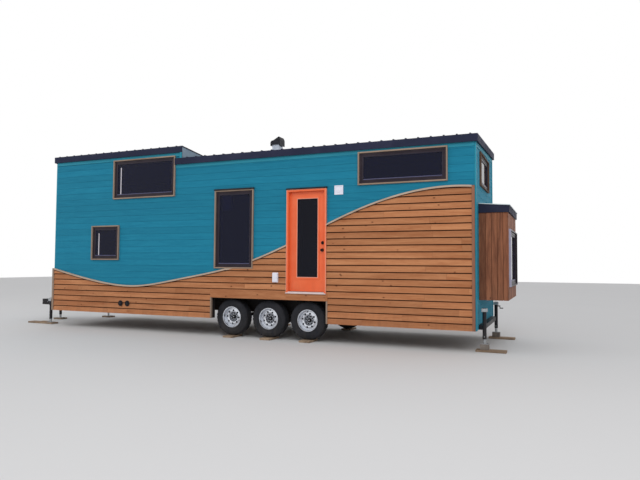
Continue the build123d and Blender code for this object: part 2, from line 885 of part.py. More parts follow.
# Chassis: two rails under the joists
rail_y = across(rail_inset)
rail_middle = rail_y + rail_width / 2
chassis_start = along(wall_thickness)
chassis_length = house_length - 2 * wall_thickness
with BuildPart() as chassis:
    for centre in (rail_middle, -rail_middle):
        with BuildSketch(Plane.YZ.offset(chassis_start)):
            with Locations((centre, up(rail_bottom))):
                Rectangle(rail_width, flange_thickness, align=(Align.CENTER, Align.MIN))
                Rectangle(web_thickness, rail_height, align=(Align.CENTER, Align.MIN))
            with Locations((centre, up(rail_top))):
                Rectangle(rail_width, flange_thickness, align=(Align.CENTER, Align.MAX))
        extrude(amount=chassis_length)
    with BuildSketch(Plane.XY.offset(up(rail_top))):
        pitch = (chassis_length - joist_width) / (joist_count - 1)
        with Locations(*[(chassis_start + i * pitch, 0) for i in range(joist_count)]):
            Rectangle(joist_width, -2 * rail_y, align=(Align.MIN, Align.CENTER))
    extrude(amount=joist_width)
save(chassis.part, "chassis")

rear_jack_x = along(house_length + rear_jack_reach)
rear_jack_y = across(rear_jack_inset)

# Tongue: two beams that meet at the coupler, with a crossbeam for the front jacks
tongue_bottom = rail_bottom - tongue_beam_height
tongue_tip = along(-tongue_reach)
tongue_front = tongue_tip + coupler_length
front_jack_x = along(-front_jack_reach)
tongue_jack_x = along(-tongue_jack_reach)
with BuildPart() as tongue:
    with BuildSketch(Plane.XY.offset(up(tongue_bottom))):
        Polygon(
            (along(tongue_lap), rail_middle - tongue_beam_width / 2),
            (along(tongue_lap), rail_middle + tongue_beam_width / 2),
            (tongue_front + tongue_beam_width, 0),
            (tongue_front, 0),
            (tongue_front, -coupler_width / 2),
            align=None,
        )
        mirror(about=Plane.XZ)
        with Locations((front_jack_x, 0)):
            Rectangle(tongue_beam_width, -2 * (rear_jack_y + jack_tube_radius))
    extrude(amount=tongue_beam_height)
    with BuildSketch(Plane.XY.offset(up(rail_bottom))):
        with Locations((tongue_jack_x, 0)):
            Rectangle(gusset_length, gusset_width)
            Circle(jack_tube_radius, mode=Mode.SUBTRACT)
    extrude(amount=gusset_thickness)
save(tongue.part, "tongue")

coupler_bottom = rail_bottom + coupler_rise - coupler_height
with BuildPart() as coupler:
    with BuildSketch(Plane.XY.offset(up(coupler_bottom))):
        with Locations((tongue_tip + coupler_width / 2, 0)):
            Circle(coupler_width / 2)
        with Locations((tongue_tip + coupler_width / 2, 0)):
            Rectangle(coupler_length - coupler_width / 2, coupler_width, align=(Align.MIN, Align.CENTER))
    extrude(amount=coupler_height)
    with BuildSketch(Plane.XY.offset(up(coupler_bottom))):
        with Locations((tongue_tip + coupler_width / 2, 0)):
            Circle(ball_socket_radius)
    extrude(amount=ball_socket_depth, mode=Mode.SUBTRACT)
save(coupler.part, "coupler")

# Jacks: a leg slides up into each tube. A beam across the tail carries the two tubes there,
# and the tongue's own jack stands in the gusset.
jack_places = {
    "front_near": (front_jack_x, rear_jack_y, 0, front_jack_top),
    "front_far": (front_jack_x, -rear_jack_y, 0, front_jack_top),
    "tongue": (tongue_jack_x, 0, 0, tongue_jack_top),
    "tail_near": (rear_jack_x, rear_jack_y, rear_jack_foot, rear_jack_top),
    "tail_far": (rear_jack_x, -rear_jack_y, rear_jack_foot, rear_jack_top),
}
leg_show = jack_travel + jack_stop_gap
with BuildPart() as tubes:
    with BuildSketch(Plane.XY.offset(up(skirt_bottom))):
        with Locations((along(house_length), 0)):
            Rectangle(rear_jack_reach, -2 * rear_jack_y, align=(Align.MIN, Align.CENTER))
    extrude(amount=rear_beam_height)
    for x, y, foot, top in jack_places.values():
        tube_bottom = foot + jack_foot_thickness + leg_show
        with BuildSketch(Plane.XY.offset(up(tube_bottom))):
            with Locations((x, y)):
                Circle(jack_tube_radius)
        extrude(amount=top - tube_bottom)
        with BuildSketch(Plane.XY.offset(up(tube_bottom))):
            with Locations((x, y)):
                Circle(jack_leg_radius + jack_clearance)
        extrude(amount=top - tube_bottom - jack_cap_thickness, mode=Mode.SUBTRACT)
save(tubes.part, "jack_tubes")

for name, (x, y, foot, top) in jack_places.items():
    with BuildPart() as leg:
        with BuildSketch(Plane.XY.offset(up(foot))):
            with Locations((x, y)):
                Rectangle(jack_foot_size, jack_foot_size)
        extrude(amount=jack_foot_thickness)
        with BuildSketch(Plane.XY.offset(up(foot))):
            with Locations((x, y)):
                Circle(jack_leg_radius)
        extrude(amount=jack_leg_length)
    save(leg.part, f"jack_leg_{name}")

# Boards under the wheels and jacks, and blocks that raise the tail jacks' feet
axle_xs = [along(middle_axle + i * axle_spacing) for i in (-1, 0, 1)]
with BuildPart() as boards:
    with BuildSketch():
        with Locations(*[(x, y) for x, y, foot, top in jack_places.values()]):
            Rectangle(jack_board_length, jack_board_width)
        board_y = across(tyre_inset + tyre_width / 2 - wheel_board_shift)
        with Locations(*[(x, y) for x in axle_xs for y in (board_y, -board_y)]):
            Rectangle(wheel_board_width, wheel_board_length)
    extrude(amount=board_thickness - seat_gap)
save(boards.part, "levelling_boards")

with BuildPart() as blocks:
    with BuildSketch(Plane.XY.offset(board_thickness - seat_gap)):
        with Locations((rear_jack_x, rear_jack_y), (rear_jack_x, -rear_jack_y)):
            Rectangle(jack_board_width, jack_board_width)
    extrude(amount=rear_jack_foot)
save(blocks.part, "jack_blocks")

# Running gear: each axle carries leaf springs, held to the rails by hangers at their eyes
axle_z = up(tyre_radius)
hub_start = across(tyre_inset + hub_inset)
hub_end = across(tyre_inset + tyre_width)
spindle_start = hub_start + hub_cap_thickness + hub_gap
tube_start = hub_end + hub_gap
spring_base = axle_z + axle_radius - spring_seat
hanger_base = spring_base + spring_camber
with BuildPart() as axles:
    for x in axle_xs:
        with BuildSketch(Plane.XZ.offset(spindle_start)):
            with Locations((x, axle_z)):
                Circle(spindle_radius)
        extrude(amount=-2 * spindle_start)
        with BuildSketch(Plane.XZ.offset(tube_start)):
            with Locations((x, axle_z)):
                Circle(axle_radius)
        extrude(amount=-2 * tube_start)
        for centre in (rail_middle, -rail_middle):
            with BuildSketch(Plane.XZ.offset(-centre)):
                with BuildLine():
                    lower = ThreePointArc((x - spring_reach, hanger_base), (x, spring_base),
                                          (x + spring_reach, hanger_base))
                    upper = ThreePointArc((x - spring_reach, hanger_base + spring_thickness),
                                          (x, spring_base + spring_thickness),
                                          (x + spring_reach, hanger_base + spring_thickness))
                    Line(lower @ 0, upper @ 0)
                    Line(lower @ 1, upper @ 1)
                make_face()
                for end in (x - spring_reach, x + spring_reach):
                    with Locations((end, hanger_base)):
                        Rectangle(hanger_length, up(rail_bottom) - hanger_base,
                                  align=(Align.CENTER, Align.MIN))
            extrude(amount=spring_width / 2, both=True)
save(axles.part, "axles")

# Wheels: a tyre on a dished rim whose hub runs on the spindle
tyre_start = across(tyre_inset)
tyre_end = tyre_start + tyre_width
tyre_middle = tyre_start + tyre_width / 2


def wheel_tyre(x):
    with BuildPart() as tyre:
        with BuildSketch(Plane.XZ.offset(-tyre_end)):
            with Locations((x, axle_z)):
                Circle(tyre_radius)
                Circle(rim_radius, mode=Mode.SUBTRACT)
        extrude(amount=tyre_width)
    return tyre.part


def wheel_rim(x):
    """A barrel with a disc across it, and a hub that is bored for the spindle."""
    bead = axle_z + rim_radius
    barrel = bead - rim_thickness
    bore = axle_z + spindle_radius + bearing_clearance
    hub = axle_z + hub_radius
    cap_end = hub_start + hub_cap_thickness
    disc = tyre_start + disc_inset
    with BuildPart() as rim:
        with BuildSketch(Plane.YZ.offset(x)):
            Polygon(
                (tyre_start + rim_edge, barrel),
                (tyre_start + rim_edge, bead),
                (tyre_end - rim_edge, bead),
                (tyre_end - rim_edge, barrel),
                (disc + disc_thickness, barrel),
                (disc + disc_thickness, hub),
                (hub_end, hub),
                (hub_end, bore),
                (cap_end, bore),
                (cap_end, axle_z),
                (hub_start, axle_z),
                (hub_start, axle_z + hub_cap_radius),
                (disc, axle_z + hub_cap_radius),
                (disc, barrel),
                align=None,
            )
        revolve(axis=Axis((x, tyre_middle, axle_z), (0, 1, 0)))
    return rim.part


for number, x in enumerate(axle_xs, start=1):
    for make, kind in ((wheel_tyre, "tyre"), (wheel_rim, "rim")):
        near = make(x)
        save(near, f"{kind}_near_{number}")
        with BuildPart() as opposite:
            add(near)
            mirror(about=Plane.XZ, mode=Mode.REPLACE)
        save(opposite.part, f"{kind}_far_{number}")
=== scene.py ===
import math
import random

import bpy
from mathutils import Matrix, Vector


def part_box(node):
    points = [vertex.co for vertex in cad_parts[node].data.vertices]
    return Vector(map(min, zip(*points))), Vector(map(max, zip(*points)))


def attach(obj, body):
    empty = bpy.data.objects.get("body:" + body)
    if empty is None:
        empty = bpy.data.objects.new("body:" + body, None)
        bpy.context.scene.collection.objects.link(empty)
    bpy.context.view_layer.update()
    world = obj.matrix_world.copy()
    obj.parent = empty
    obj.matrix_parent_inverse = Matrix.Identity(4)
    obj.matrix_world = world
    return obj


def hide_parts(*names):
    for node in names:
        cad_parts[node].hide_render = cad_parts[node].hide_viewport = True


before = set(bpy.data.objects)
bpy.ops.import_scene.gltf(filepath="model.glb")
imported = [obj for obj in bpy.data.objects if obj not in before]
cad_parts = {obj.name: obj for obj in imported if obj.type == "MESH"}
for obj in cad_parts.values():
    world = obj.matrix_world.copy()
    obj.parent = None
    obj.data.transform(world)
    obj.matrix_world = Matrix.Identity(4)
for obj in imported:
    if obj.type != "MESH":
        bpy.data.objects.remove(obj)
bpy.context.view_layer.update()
print("frame loaded:", len(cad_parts), "nodes")

# The door side looks along -Y, the tail along +X, the far side along +Y, the tongue end along -X
walls = {
    "door": {"turn": 0, "origin": (0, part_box("front_wall_left")[0].y, 0)},
    "tail": {"turn": 90, "origin": (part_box("tail_end_wall")[1].x, 0, 0)},
    "far": {"turn": 180, "origin": (0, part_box("back_wall")[1].y, 0)},
    "tongue": {"turn": 270, "origin": (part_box("tongue_end_wall")[0].x, 0, 0)},
}
longWalls = ("door", "far")
# Angles are in degrees
shaping = {"bevelAngle": 40, "tubeBevelAngle": 60, "tubeSmooth": 35, "smooth": 32, "merge": 0.00005, "flat": 0.2,
           "spinMerge": 0.00002}


def clearSelection():
    bpy.ops.object.select_all(action="DESELECT")


def pick(*pieces):
    clearSelection()
    for piece in pieces:
        piece.select_set(True)
    bpy.context.view_layer.objects.active = pieces[-1]


def editAll():
    bpy.ops.object.mode_set(mode="EDIT")
    bpy.ops.mesh.select_all(action="SELECT")


def leaveEdit():
    bpy.ops.object.mode_set(mode="OBJECT")


def bakePlace(piece):
    pick(piece)
    bpy.ops.object.transform_apply(location=True, rotation=True, scale=True)
    return piece


def smooth(piece, angle=shaping["smooth"]):
    pick(piece)
    bpy.ops.object.shade_smooth_by_angle(angle=math.radians(angle))
    return piece


def applyModifier(piece, kind, **values):
    pick(piece)
    modifier = piece.modifiers.new(kind.title(), kind)
    for name, value in values.items():
        setattr(modifier, name, value)
    bpy.ops.object.modifier_apply(modifier=modifier.name)
    return piece


def soften(piece, width, angle=shaping["bevelAngle"]):
    return applyModifier(piece, "BEVEL", width=width, segments=2, limit_method="ANGLE", angle_limit=math.radians(angle))


def cutWith(piece, cutter, operation):
    applyModifier(piece, "BOOLEAN", object=cutter, operation=operation, solver="EXACT")
    bpy.data.objects.remove(cutter)
    return piece


def addBlock(name, low, high, bevel=0.0):
    clearSelection()
    low, high = Vector(low), Vector(high)
    bpy.ops.mesh.primitive_cube_add(size=1, location=(low + high) / 2)
    block = bpy.context.object
    block.name = name
    block.scale = high - low
    bakePlace(block)
    return soften(block, bevel) if bevel else block


def addTube(name, start, end, radius, sides=24, bevel=0.0):
    clearSelection()
    start, end = Vector(start), Vector(end)
    bpy.ops.mesh.primitive_cylinder_add(
        vertices=sides, radius=radius, depth=(end - start).length, location=(start + end) / 2)
    tube = bpy.context.object
    tube.name = name
    tube.rotation_mode = "QUATERNION"
    tube.rotation_quaternion = (end - start).to_track_quat("Z", "Y")
    bakePlace(tube)
    if bevel:
        soften(tube, bevel, shaping["tubeBevelAngle"])
    return smooth(tube, shaping["tubeSmooth"])


def join(name, pieces):
    pieces = list(pieces)
    pick(*pieces)
    if len(pieces) > 1:
        bpy.ops.object.join()
    whole = bpy.context.object
    whole.name = name
    whole.data.name = name
    return whole


def link(piece):
    bpy.context.scene.collection.objects.link(piece)
    return piece


def twin(piece, name):
    copied = piece.copy()
    copied.data = piece.data.copy()
    copied.name = name
    return link(copied)


def nodeSolids(node):
    # The separate solids of a CAD node, as copies. A CAD mesh has loose triangles, so it is merged first
    whole = link(bpy.data.objects.new("solids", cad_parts[node].data.copy()))
    whole.data.materials.clear()
    pick(whole)
    editAll()
    bpy.ops.mesh.remove_doubles(threshold=shaping["merge"])
    bpy.ops.mesh.dissolve_limited(angle_limit=math.radians(shaping["flat"]))
    leaveEdit()
    editAll()
    bpy.ops.mesh.separate(type="LOOSE")
    leaveEdit()
    return list(bpy.context.selected_objects)


def boxOf(piece):
    places = [v.co for v in piece.data.vertices]
    return tuple(Vector([most(p[i] for p in places) for i in range(3)]) for most in (min, max))


def solidBoxes(node):
    solids = nodeSolids(node)
    boxes = sorted((boxOf(solid) for solid in solids), key=lambda box: (round(box[0].y, 2), round(box[0].x, 2)))
    for solid in solids:
        bpy.data.objects.remove(solid)
    return boxes


def middleOf(low, high):
    return (low + high) / 2


def grown(box, by):
    return (box[0] - Vector(by), box[1] + Vector(by))


def cutBoxes(piece, boxes):
    return cutWith(piece, join("cutter", [addBlock("cutter", low, high) for low, high in boxes]), "DIFFERENCE")


def ontoWall(piece, wall):
    # From a wall's own space (along, inwards, up) to its place on the house
    turn = Matrix.Rotation(math.radians(walls[wall]["turn"]), 4, "Z")
    piece.matrix_world = Matrix.Translation(walls[wall]["origin"]) @ turn @ piece.matrix_world
    return bakePlace(piece)


def wallSpace(wall, point):
    turn = Matrix.Rotation(-math.radians(walls[wall]["turn"]), 4, "Z")
    return turn @ (Vector(point) - Vector(walls[wall]["origin"]))


def spanOn(wall, box):
    # A box's reach along a wall, out from its face and up
    a, b = wallSpace(wall, box[0]), wallSpace(wall, box[1])
    return (min(a.x, b.x), max(a.x, b.x)), (-max(a.y, b.y), -min(a.y, b.y)), (min(a.z, b.z), max(a.z, b.z))


def wallOf(low, high):
    # The wall that a flat box lies against
    size, middle = high - low, middleOf(low, high)
    if size.x < size.y:
        return "tail" if middle.x > 0 else "tongue"
    return "door" if middle.y < 0 else "far"


def blockOn(name, wall, along, out, heights, bevel=0.0):
    # A block by its reach along the wall, out from its face and up
    block = addBlock(name, (along[0], -out[1], heights[0]), (along[1], -out[0], heights[1]), bevel)
    return ontoWall(block, wall)


def toneOn(piece, value):
    # Every face carries its board's tone, which a later cut leaves as it is
    mark = piece.data.attributes.new("boardTone", "FLOAT", "FACE")
    mark.data.foreach_set("value", [value] * len(piece.data.polygons))
    return piece


def finish(name, pieces, slot, look, *replaced, body="house"):
    # Join the pieces, give them their finish and let them ride on a body
    whole = join(name, pieces)
    whole.data.materials.clear()
    whole.data.materials.append(finishes[look])
    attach(whole, body)
    if replaced:
        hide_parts(*replaced)


# Node helpers: a value that is a socket gets linked, any other is set on the socket
def put(tree, socket, value):
    if isinstance(value, bpy.types.NodeSocket):
        tree.links.new(value, socket)
    elif value is not None:
        socket.default_value = value


def addNode(tree, kind, inputs=None, **settings):
    node = tree.nodes.new("ShaderNode" + kind)
    for name, value in settings.items():
        setattr(node, name, value)
    for name, value in (inputs or {}).items():
        put(tree, node.inputs[name], value)
    return node


def calculate(tree, operation, a, b, clamp=False):
    node = addNode(tree, "Math", operation=operation, use_clamp=clamp)
    put(tree, node.inputs[0], a)
    put(tree, node.inputs[1], b)
    return node.outputs[0]


def times(tree, a, b, clamp=False):
    return calculate(tree, "MULTIPLY", a, b, clamp)


def blendColour(tree, factor, a, b, kind="MIX"):
    node = addNode(tree, "Mix", data_type="RGBA", blend_type=kind)
    for index, value in ((0, factor), (6, a), (7, b)):
        put(tree, node.inputs[index], value)
    return node.outputs[2]


def spread(tree, value, low, high, newLow=0.0, newHigh=1.0, **settings):
    inputs = {"Value": value, "From Min": low, "From Max": high, "To Min": newLow, "To Max": newHigh}
    return addNode(tree, "MapRange", inputs, **settings).outputs[0]


def noise(tree, vector, scale, detail, roughness=0.5, distortion=0.0):
    inputs = {"Vector": vector, "Scale": scale, "Detail": detail, "Roughness": roughness, "Distortion": distortion}
    return addNode(tree, "TexNoise", inputs).outputs[0]


def stretched(tree, vector, scale):
    return addNode(tree, "Mapping", {"Vector": vector, "Scale": scale}).outputs[0]


def newGroup(name, inputs, outputs):
    group = bpy.data.node_groups.new(name, "ShaderNodeTree")
    group.interface.new_socket("Vector", in_out="INPUT", socket_type="NodeSocketVector")
    for label, value in inputs.items():
        group.interface.new_socket(label, in_out="INPUT", socket_type="NodeSocketFloat").default_value = value
    for label in outputs:
        group.interface.new_socket(label, in_out="OUTPUT", socket_type="NodeSocketFloat")
    given, out = group.nodes.new("NodeGroupInput"), group.nodes.new("NodeGroupOutput")
    return group, given.outputs, out.inputs


def useGroup(tree, group, inputs):
    node = tree.nodes.new("ShaderNodeGroup")
    node.node_tree = group
    for name, value in inputs.items():
        put(tree, node.inputs[name], value)
    return node.outputs


def srgb(*channels):
    # A colour as seen on a screen, 0 to 255, as the shader wants it
    def linear(value):
        value = value / 255
        return value / 12.92 if value <= 0.04045 else ((value + 0.055) / 1.055) ** 2.4
    return tuple(linear(channel) for channel in channels) + (1.0,)


grain = {"stretch": 0.09, "streakDetail": 5.0, "streakRough": 0.62, "bend": 0.6, "fibreDetail": 3.0,
         "streakShare": 0.75, "fibreShare": 0.25, "knotStretch": 0.62, "knotScale": 6.0, "knotSize": 0.12,
         "knotCore": 0.35, "knotDip": 0.3}


def makeGrainGroup():
    # Long streaks, fine fibres and a few knots along the X of the vector that comes in
    group, given, out = newGroup("woodGrain", {"Streaks": 9.0, "Fibre": 90.0, "Knots": 0.5}, ("Tone", "Knot", "Height"))
    long = stretched(group, given["Vector"], (grain["stretch"], 1.0, 1.0))
    streak = noise(group, long, given["Streaks"], grain["streakDetail"], grain["streakRough"], grain["bend"])
    fibre = noise(group, long, given["Fibre"], grain["fibreDetail"])
    knotVector = stretched(group, given["Vector"], (grain["knotStretch"], 1.0, 1.0))
    cells = addNode(group, "TexVoronoi", {"Vector": knotVector, "Scale": grain["knotScale"], "Randomness": 1.0})
    size = times(group, given["Knots"], grain["knotSize"])
    knot = spread(group, cells.outputs["Distance"], size, times(group, size, grain["knotCore"]),
                  interpolation_type="SMOOTHSTEP")
    tone = calculate(group, "ADD", times(group, streak, grain["streakShare"]), times(group, fibre, grain["fibreShare"]))
    put(group, out["Tone"], tone)
    put(group, out["Knot"], knot)
    put(group, out["Height"], calculate(group, "SUBTRACT", tone, times(group, knot, grain["knotDip"])))
    return group


drips = {"stretch": 0.16, "scale": 7.0, "detail": 6.0, "rough": 0.7, "from": 0.38, "to": 0.68}


def makeGrimeGroup():
    # A mask of rain marks and splashes that is strongest at the foot and fades upwards
    group, given, out = newGroup("grimeRise", {"Foot": 0.35, "Reach": 0.5, "Amount": 0.5}, ("Mask",))
    height = addNode(group, "SeparateXYZ", {"Vector": given["Vector"]}).outputs["Z"]
    rise = spread(group, height, calculate(group, "ADD", given["Foot"], given["Reach"]), given["Foot"])
    marks = noise(group, stretched(group, given["Vector"], (1.0, 1.0, drips["stretch"])), drips["scale"],
                  drips["detail"], drips["rough"])
    mask = times(group, spread(group, marks, drips["from"], drips["to"]), rise)
    put(group, out["Mask"], times(group, mask, given["Amount"], clamp=True))
    return group


spots = {"patchDetail": 4.0, "patchRough": 0.6, "speckDetail": 2.0, "speckFrom": 0.35, "speckTo": 0.65}


def makeWearGroup():
    # Broad patches and fine specks for paint, metal and plastic
    group, given, out = newGroup("wearSpots", {"Patch Size": 3.0, "Speck Size": 120.0}, ("Patch", "Speck", "Height"))
    patch = noise(group, given["Vector"], given["Patch Size"], spots["patchDetail"], spots["patchRough"])
    speck = noise(group, given["Vector"], given["Speck Size"], spots["speckDetail"])
    put(group, out["Patch"], patch)
    put(group, out["Speck"], spread(group, speck, spots["speckFrom"], spots["speckTo"]))
    put(group, out["Height"], speck)
    return group


grainGroup = makeGrainGroup()
grimeGroup = makeGrimeGroup()
wearGroup = makeWearGroup()


def startMaterial(name):
    material = bpy.data.materials.new(name)
    material.use_nodes = True
    tree = material.node_tree
    tree.nodes.clear()
    shader = tree.nodes.new("ShaderNodeBsdfPrincipled")
    output = tree.nodes.new("ShaderNodeOutputMaterial")
    tree.links.new(shader.outputs[0], output.inputs[0])
    return material, tree, shader, tree.nodes.new("ShaderNodeTexCoord").outputs["Object"]


def setShader(tree, shader, **values):
    for name, value in values.items():
        put(tree, shader.inputs[name.replace("_", " ")], value)


def addGrime(tree, where, colour, grime, foot, reach, grimeColour):
    dirt = useGroup(tree, grimeGroup, {"Vector": where, "Foot": foot, "Reach": reach, "Amount": grime})
    return blendColour(tree, dirt["Mask"], colour, srgb(*grimeColour))


def addBump(tree, height, strength, distance):
    return addNode(tree, "Bump", {"Height": height, "Strength": strength, "Distance": distance}).outputs[0]


grainTurns = {"x": (0, 0, 0), "y": (0, 0, math.radians(90)), "z": (0, math.radians(90), 0)}
wood = {"jumpX": 37.0, "jumpZ": 11.0, "toneFrom": 0.32, "toneTo": 0.68, "darker": 0.36, "lighter": 0.2,
        "knotShare": 0.75, "roughFrom": 0.2, "roughTo": 0.8, "duller": 0.12, "shinier": 0.08, "specular": 0.18,
        "bumpDepth": 0.004}


def woodMaterial(name, light, dark, knot, along="x", knots=0.5, rough=0.62, toneByBoard=0.5, bump=0.5,
                 streaks=9.0, grime=0.35, foot=0.35, reach=0.5, grimeColour=(96, 78, 64)):
    material, tree, shader, where = startMaterial(name)
    turned = addNode(tree, "Mapping", {"Vector": where, "Rotation": grainTurns[along]}).outputs[0]
    # The grain jumps from board to board with the board's tone
    board = addNode(tree, "Attribute", attribute_name="boardTone").outputs["Fac"]
    jump = addNode(tree, "CombineXYZ", {"X": times(tree, board, wood["jumpX"]), "Z": times(tree, board, wood["jumpZ"])})
    shifted = addNode(tree, "VectorMath", operation="ADD")
    put(tree, shifted.inputs[0], turned)
    put(tree, shifted.inputs[1], jump.outputs[0])
    lines = useGroup(tree, grainGroup, {"Vector": shifted.outputs[0], "Streaks": streaks, "Knots": knots})
    colour = blendColour(tree, spread(tree, lines["Tone"], wood["toneFrom"], wood["toneTo"]), srgb(*dark), srgb(*light))
    byBoard = spread(tree, board, 0.0, 1.0, 1.0 - wood["darker"] * toneByBoard, 1.0 + wood["lighter"] * toneByBoard)
    shade = addNode(tree, "CombineColor", {"Red": byBoard, "Green": byBoard, "Blue": byBoard}).outputs[0]
    colour = blendColour(tree, 1.0, colour, shade, "MULTIPLY")
    colour = blendColour(tree, times(tree, lines["Knot"], wood["knotShare"]), colour, srgb(*knot))
    roughness = spread(tree, lines["Tone"], wood["roughFrom"], wood["roughTo"], rough + wood["duller"],
                       rough - wood["shinier"])
    setShader(tree, shader, Base_Color=addGrime(tree, where, colour, grime, foot, reach, grimeColour),
              Roughness=roughness, Specular_IOR_Level=wood["specular"],
              Normal=addBump(tree, lines["Height"], bump, wood["bumpDepth"]))
    return material


paint = {"patchFrom": 0.42, "patchTo": 0.66, "speckDark": 0.72, "roughFrom": 0.3, "roughTo": 0.7, "roughSwing": 0.08,
         "coatRough": 0.15, "bumpDepth": 0.001}


def paintMaterial(name, colour, patchColour, patchAmount, rough=0.45, metallic=0.0, bump=0.15, grime=0.0, foot=0.35,
                  reach=0.5, grimeColour=(110, 98, 84), patchSize=3.0, speckSize=120.0, speckShade=0.06, coat=0.0,
                  specular=0.25):
    material, tree, shader, where = startMaterial(name)
    wear = useGroup(tree, wearGroup, {"Vector": where, "Patch Size": patchSize, "Speck Size": speckSize})
    patch = times(tree, spread(tree, wear["Patch"], paint["patchFrom"], paint["patchTo"]), patchAmount, clamp=True)
    mixed = blendColour(tree, patch, srgb(*colour), srgb(*patchColour))
    dark = srgb(*[channel * paint["speckDark"] for channel in colour])
    mixed = blendColour(tree, times(tree, wear["Speck"], speckShade), mixed, dark)
    if grime:
        mixed = addGrime(tree, where, mixed, grime, foot, reach, grimeColour)
    roughness = spread(tree, wear["Patch"], paint["roughFrom"], paint["roughTo"], rough + paint["roughSwing"],
                       rough - paint["roughSwing"])
    setShader(tree, shader, Base_Color=mixed, Roughness=roughness, Metallic=metallic, Specular_IOR_Level=specular,
              Coat_Weight=coat, Coat_Roughness=paint["coatRough"],
              Normal=addBump(tree, wear["Height"], bump, paint["bumpDepth"]))
    return material


glass = {"filmScale": 2.2, "filmDetail": 3.0, "filmFrom": 0.35, "filmTo": 0.7, "clean": 0.02, "hazy": 0.05,
         "transmission": 0.85, "index": 1.24}


def glassMaterial(name, *tint):
    material, tree, shader, where = startMaterial(name)
    film = noise(tree, where, glass["filmScale"], glass["filmDetail"])
    roughness = spread(tree, film, glass["filmFrom"], glass["filmTo"], glass["clean"], glass["hazy"])
    setShader(tree, shader, Base_Color=srgb(*tint), Roughness=roughness, Transmission_Weight=glass["transmission"],
              IOR=glass["index"])
    return material


# Each wood by its light, dark and knot colours, each paint by its colour, its patches' colour and their share
plain = {"toneByBoard": 0.0, "grime": 0.0}
cedar = {"toneByBoard": 0.4, "knots": 1.0, "grime": 0.4, "grimeColour": (112, 74, 56)}
teal = {"toneByBoard": 0.26, "knots": 0.3, "rough": 0.66, "bump": 0.6, "streaks": 20.0, "grime": 0.0}
tealTrim = {"toneByBoard": 0.1, "knots": 0.1, "rough": 0.55, "bump": 0.35, "streaks": 14.0, "grime": 0.0}
trim = {"toneByBoard": 0.2, "knots": 0.25, "rough": 0.7, "grime": 0.0}
woods = {
    "cedarLong": ((196, 136, 94), (158, 98, 62), (88, 46, 28), cedar),
    "cedarEnd": ((196, 136, 94), (158, 98, 62), (88, 46, 28), cedar | {"along": "y"}),
    # The backing's dark brown is partly the cedar's dark stain and partly painted shade, in the course gaps and under
    # the wave trim
    "cedarStainAndShade": ((74, 40, 28), (48, 26, 20), (30, 18, 16), plain | {"knots": 0.0, "rough": 0.8}),
    "cedarCorner": ((164, 116, 92), (126, 84, 66), (82, 52, 42),
                    {"along": "z", "toneByBoard": 0.2, "knots": 0.4, "grime": 0.35}),
    "tealLong": ((30, 130, 158), (25, 117, 146), (14, 86, 114), teal),
    "tealEnd": ((36, 140, 166), (30, 127, 154), (16, 92, 120), teal | {"along": "y"}),
    # The teal backing is darker than the boards: painted shade in the gaps between them
    "tealBackingShade": ((18, 84, 108), (12, 64, 88), (10, 50, 70), plain | {"knots": 0.0, "rough": 0.8}),
    "tealTrim": ((48, 142, 162), (38, 124, 146), (24, 96, 120), tealTrim),
    "tealUpright": ((52, 148, 168), (38, 128, 152), (24, 96, 120), tealTrim | {"along": "z", "grime": 0.15}),
    "tealRake": ((52, 148, 168), (40, 128, 150), (24, 96, 120), tealTrim | {"along": "y"}),
    "wavePale": ((206, 184, 164), (172, 150, 132), (110, 90, 76), trim | {"knots": 0.2}),
    "trimLong": ((172, 150, 132), (132, 112, 96), (82, 64, 56), trim),
    "trimUpright": ((164, 144, 128), (128, 108, 94), (80, 62, 54), trim | {"along": "z", "grime": 0.35}),
    "trimAcross": ((112, 88, 74), (84, 64, 54), (56, 42, 36), trim | {"along": "y"}),
    "trimDark": ((112, 88, 74), (84, 64, 54), (56, 42, 36), trim | {"along": "z"}),
    "bayInside": ((120, 74, 52), (70, 40, 30), (48, 28, 22), plain | {"along": "z", "knots": 0.3, "rough": 0.7}),
    "bayBoards": ((164, 106, 76), (94, 56, 42), (50, 28, 24),
                  {"along": "z", "knots": 0.8, "toneByBoard": 0.9, "rough": 0.6, "streaks": 12.0, "foot": 0.9,
                   "reach": 0.4, "grime": 0.3}),
    "lining": ((206, 176, 134), (176, 140, 98), (120, 84, 56), plain | {"knots": 0.45, "rough": 0.5, "bump": 0.25}),
    "floorDeck": ((150, 112, 78), (108, 74, 50), (70, 46, 34), plain | {"knots": 0.3, "rough": 0.42, "bump": 0.25}),
    "groundBoards": ((178, 156, 132), (126, 106, 88), (78, 62, 52),
                     {"knots": 0.35, "rough": 0.85, "bump": 0.9, "foot": 0.0, "reach": 0.12, "grime": 0.8}),
}
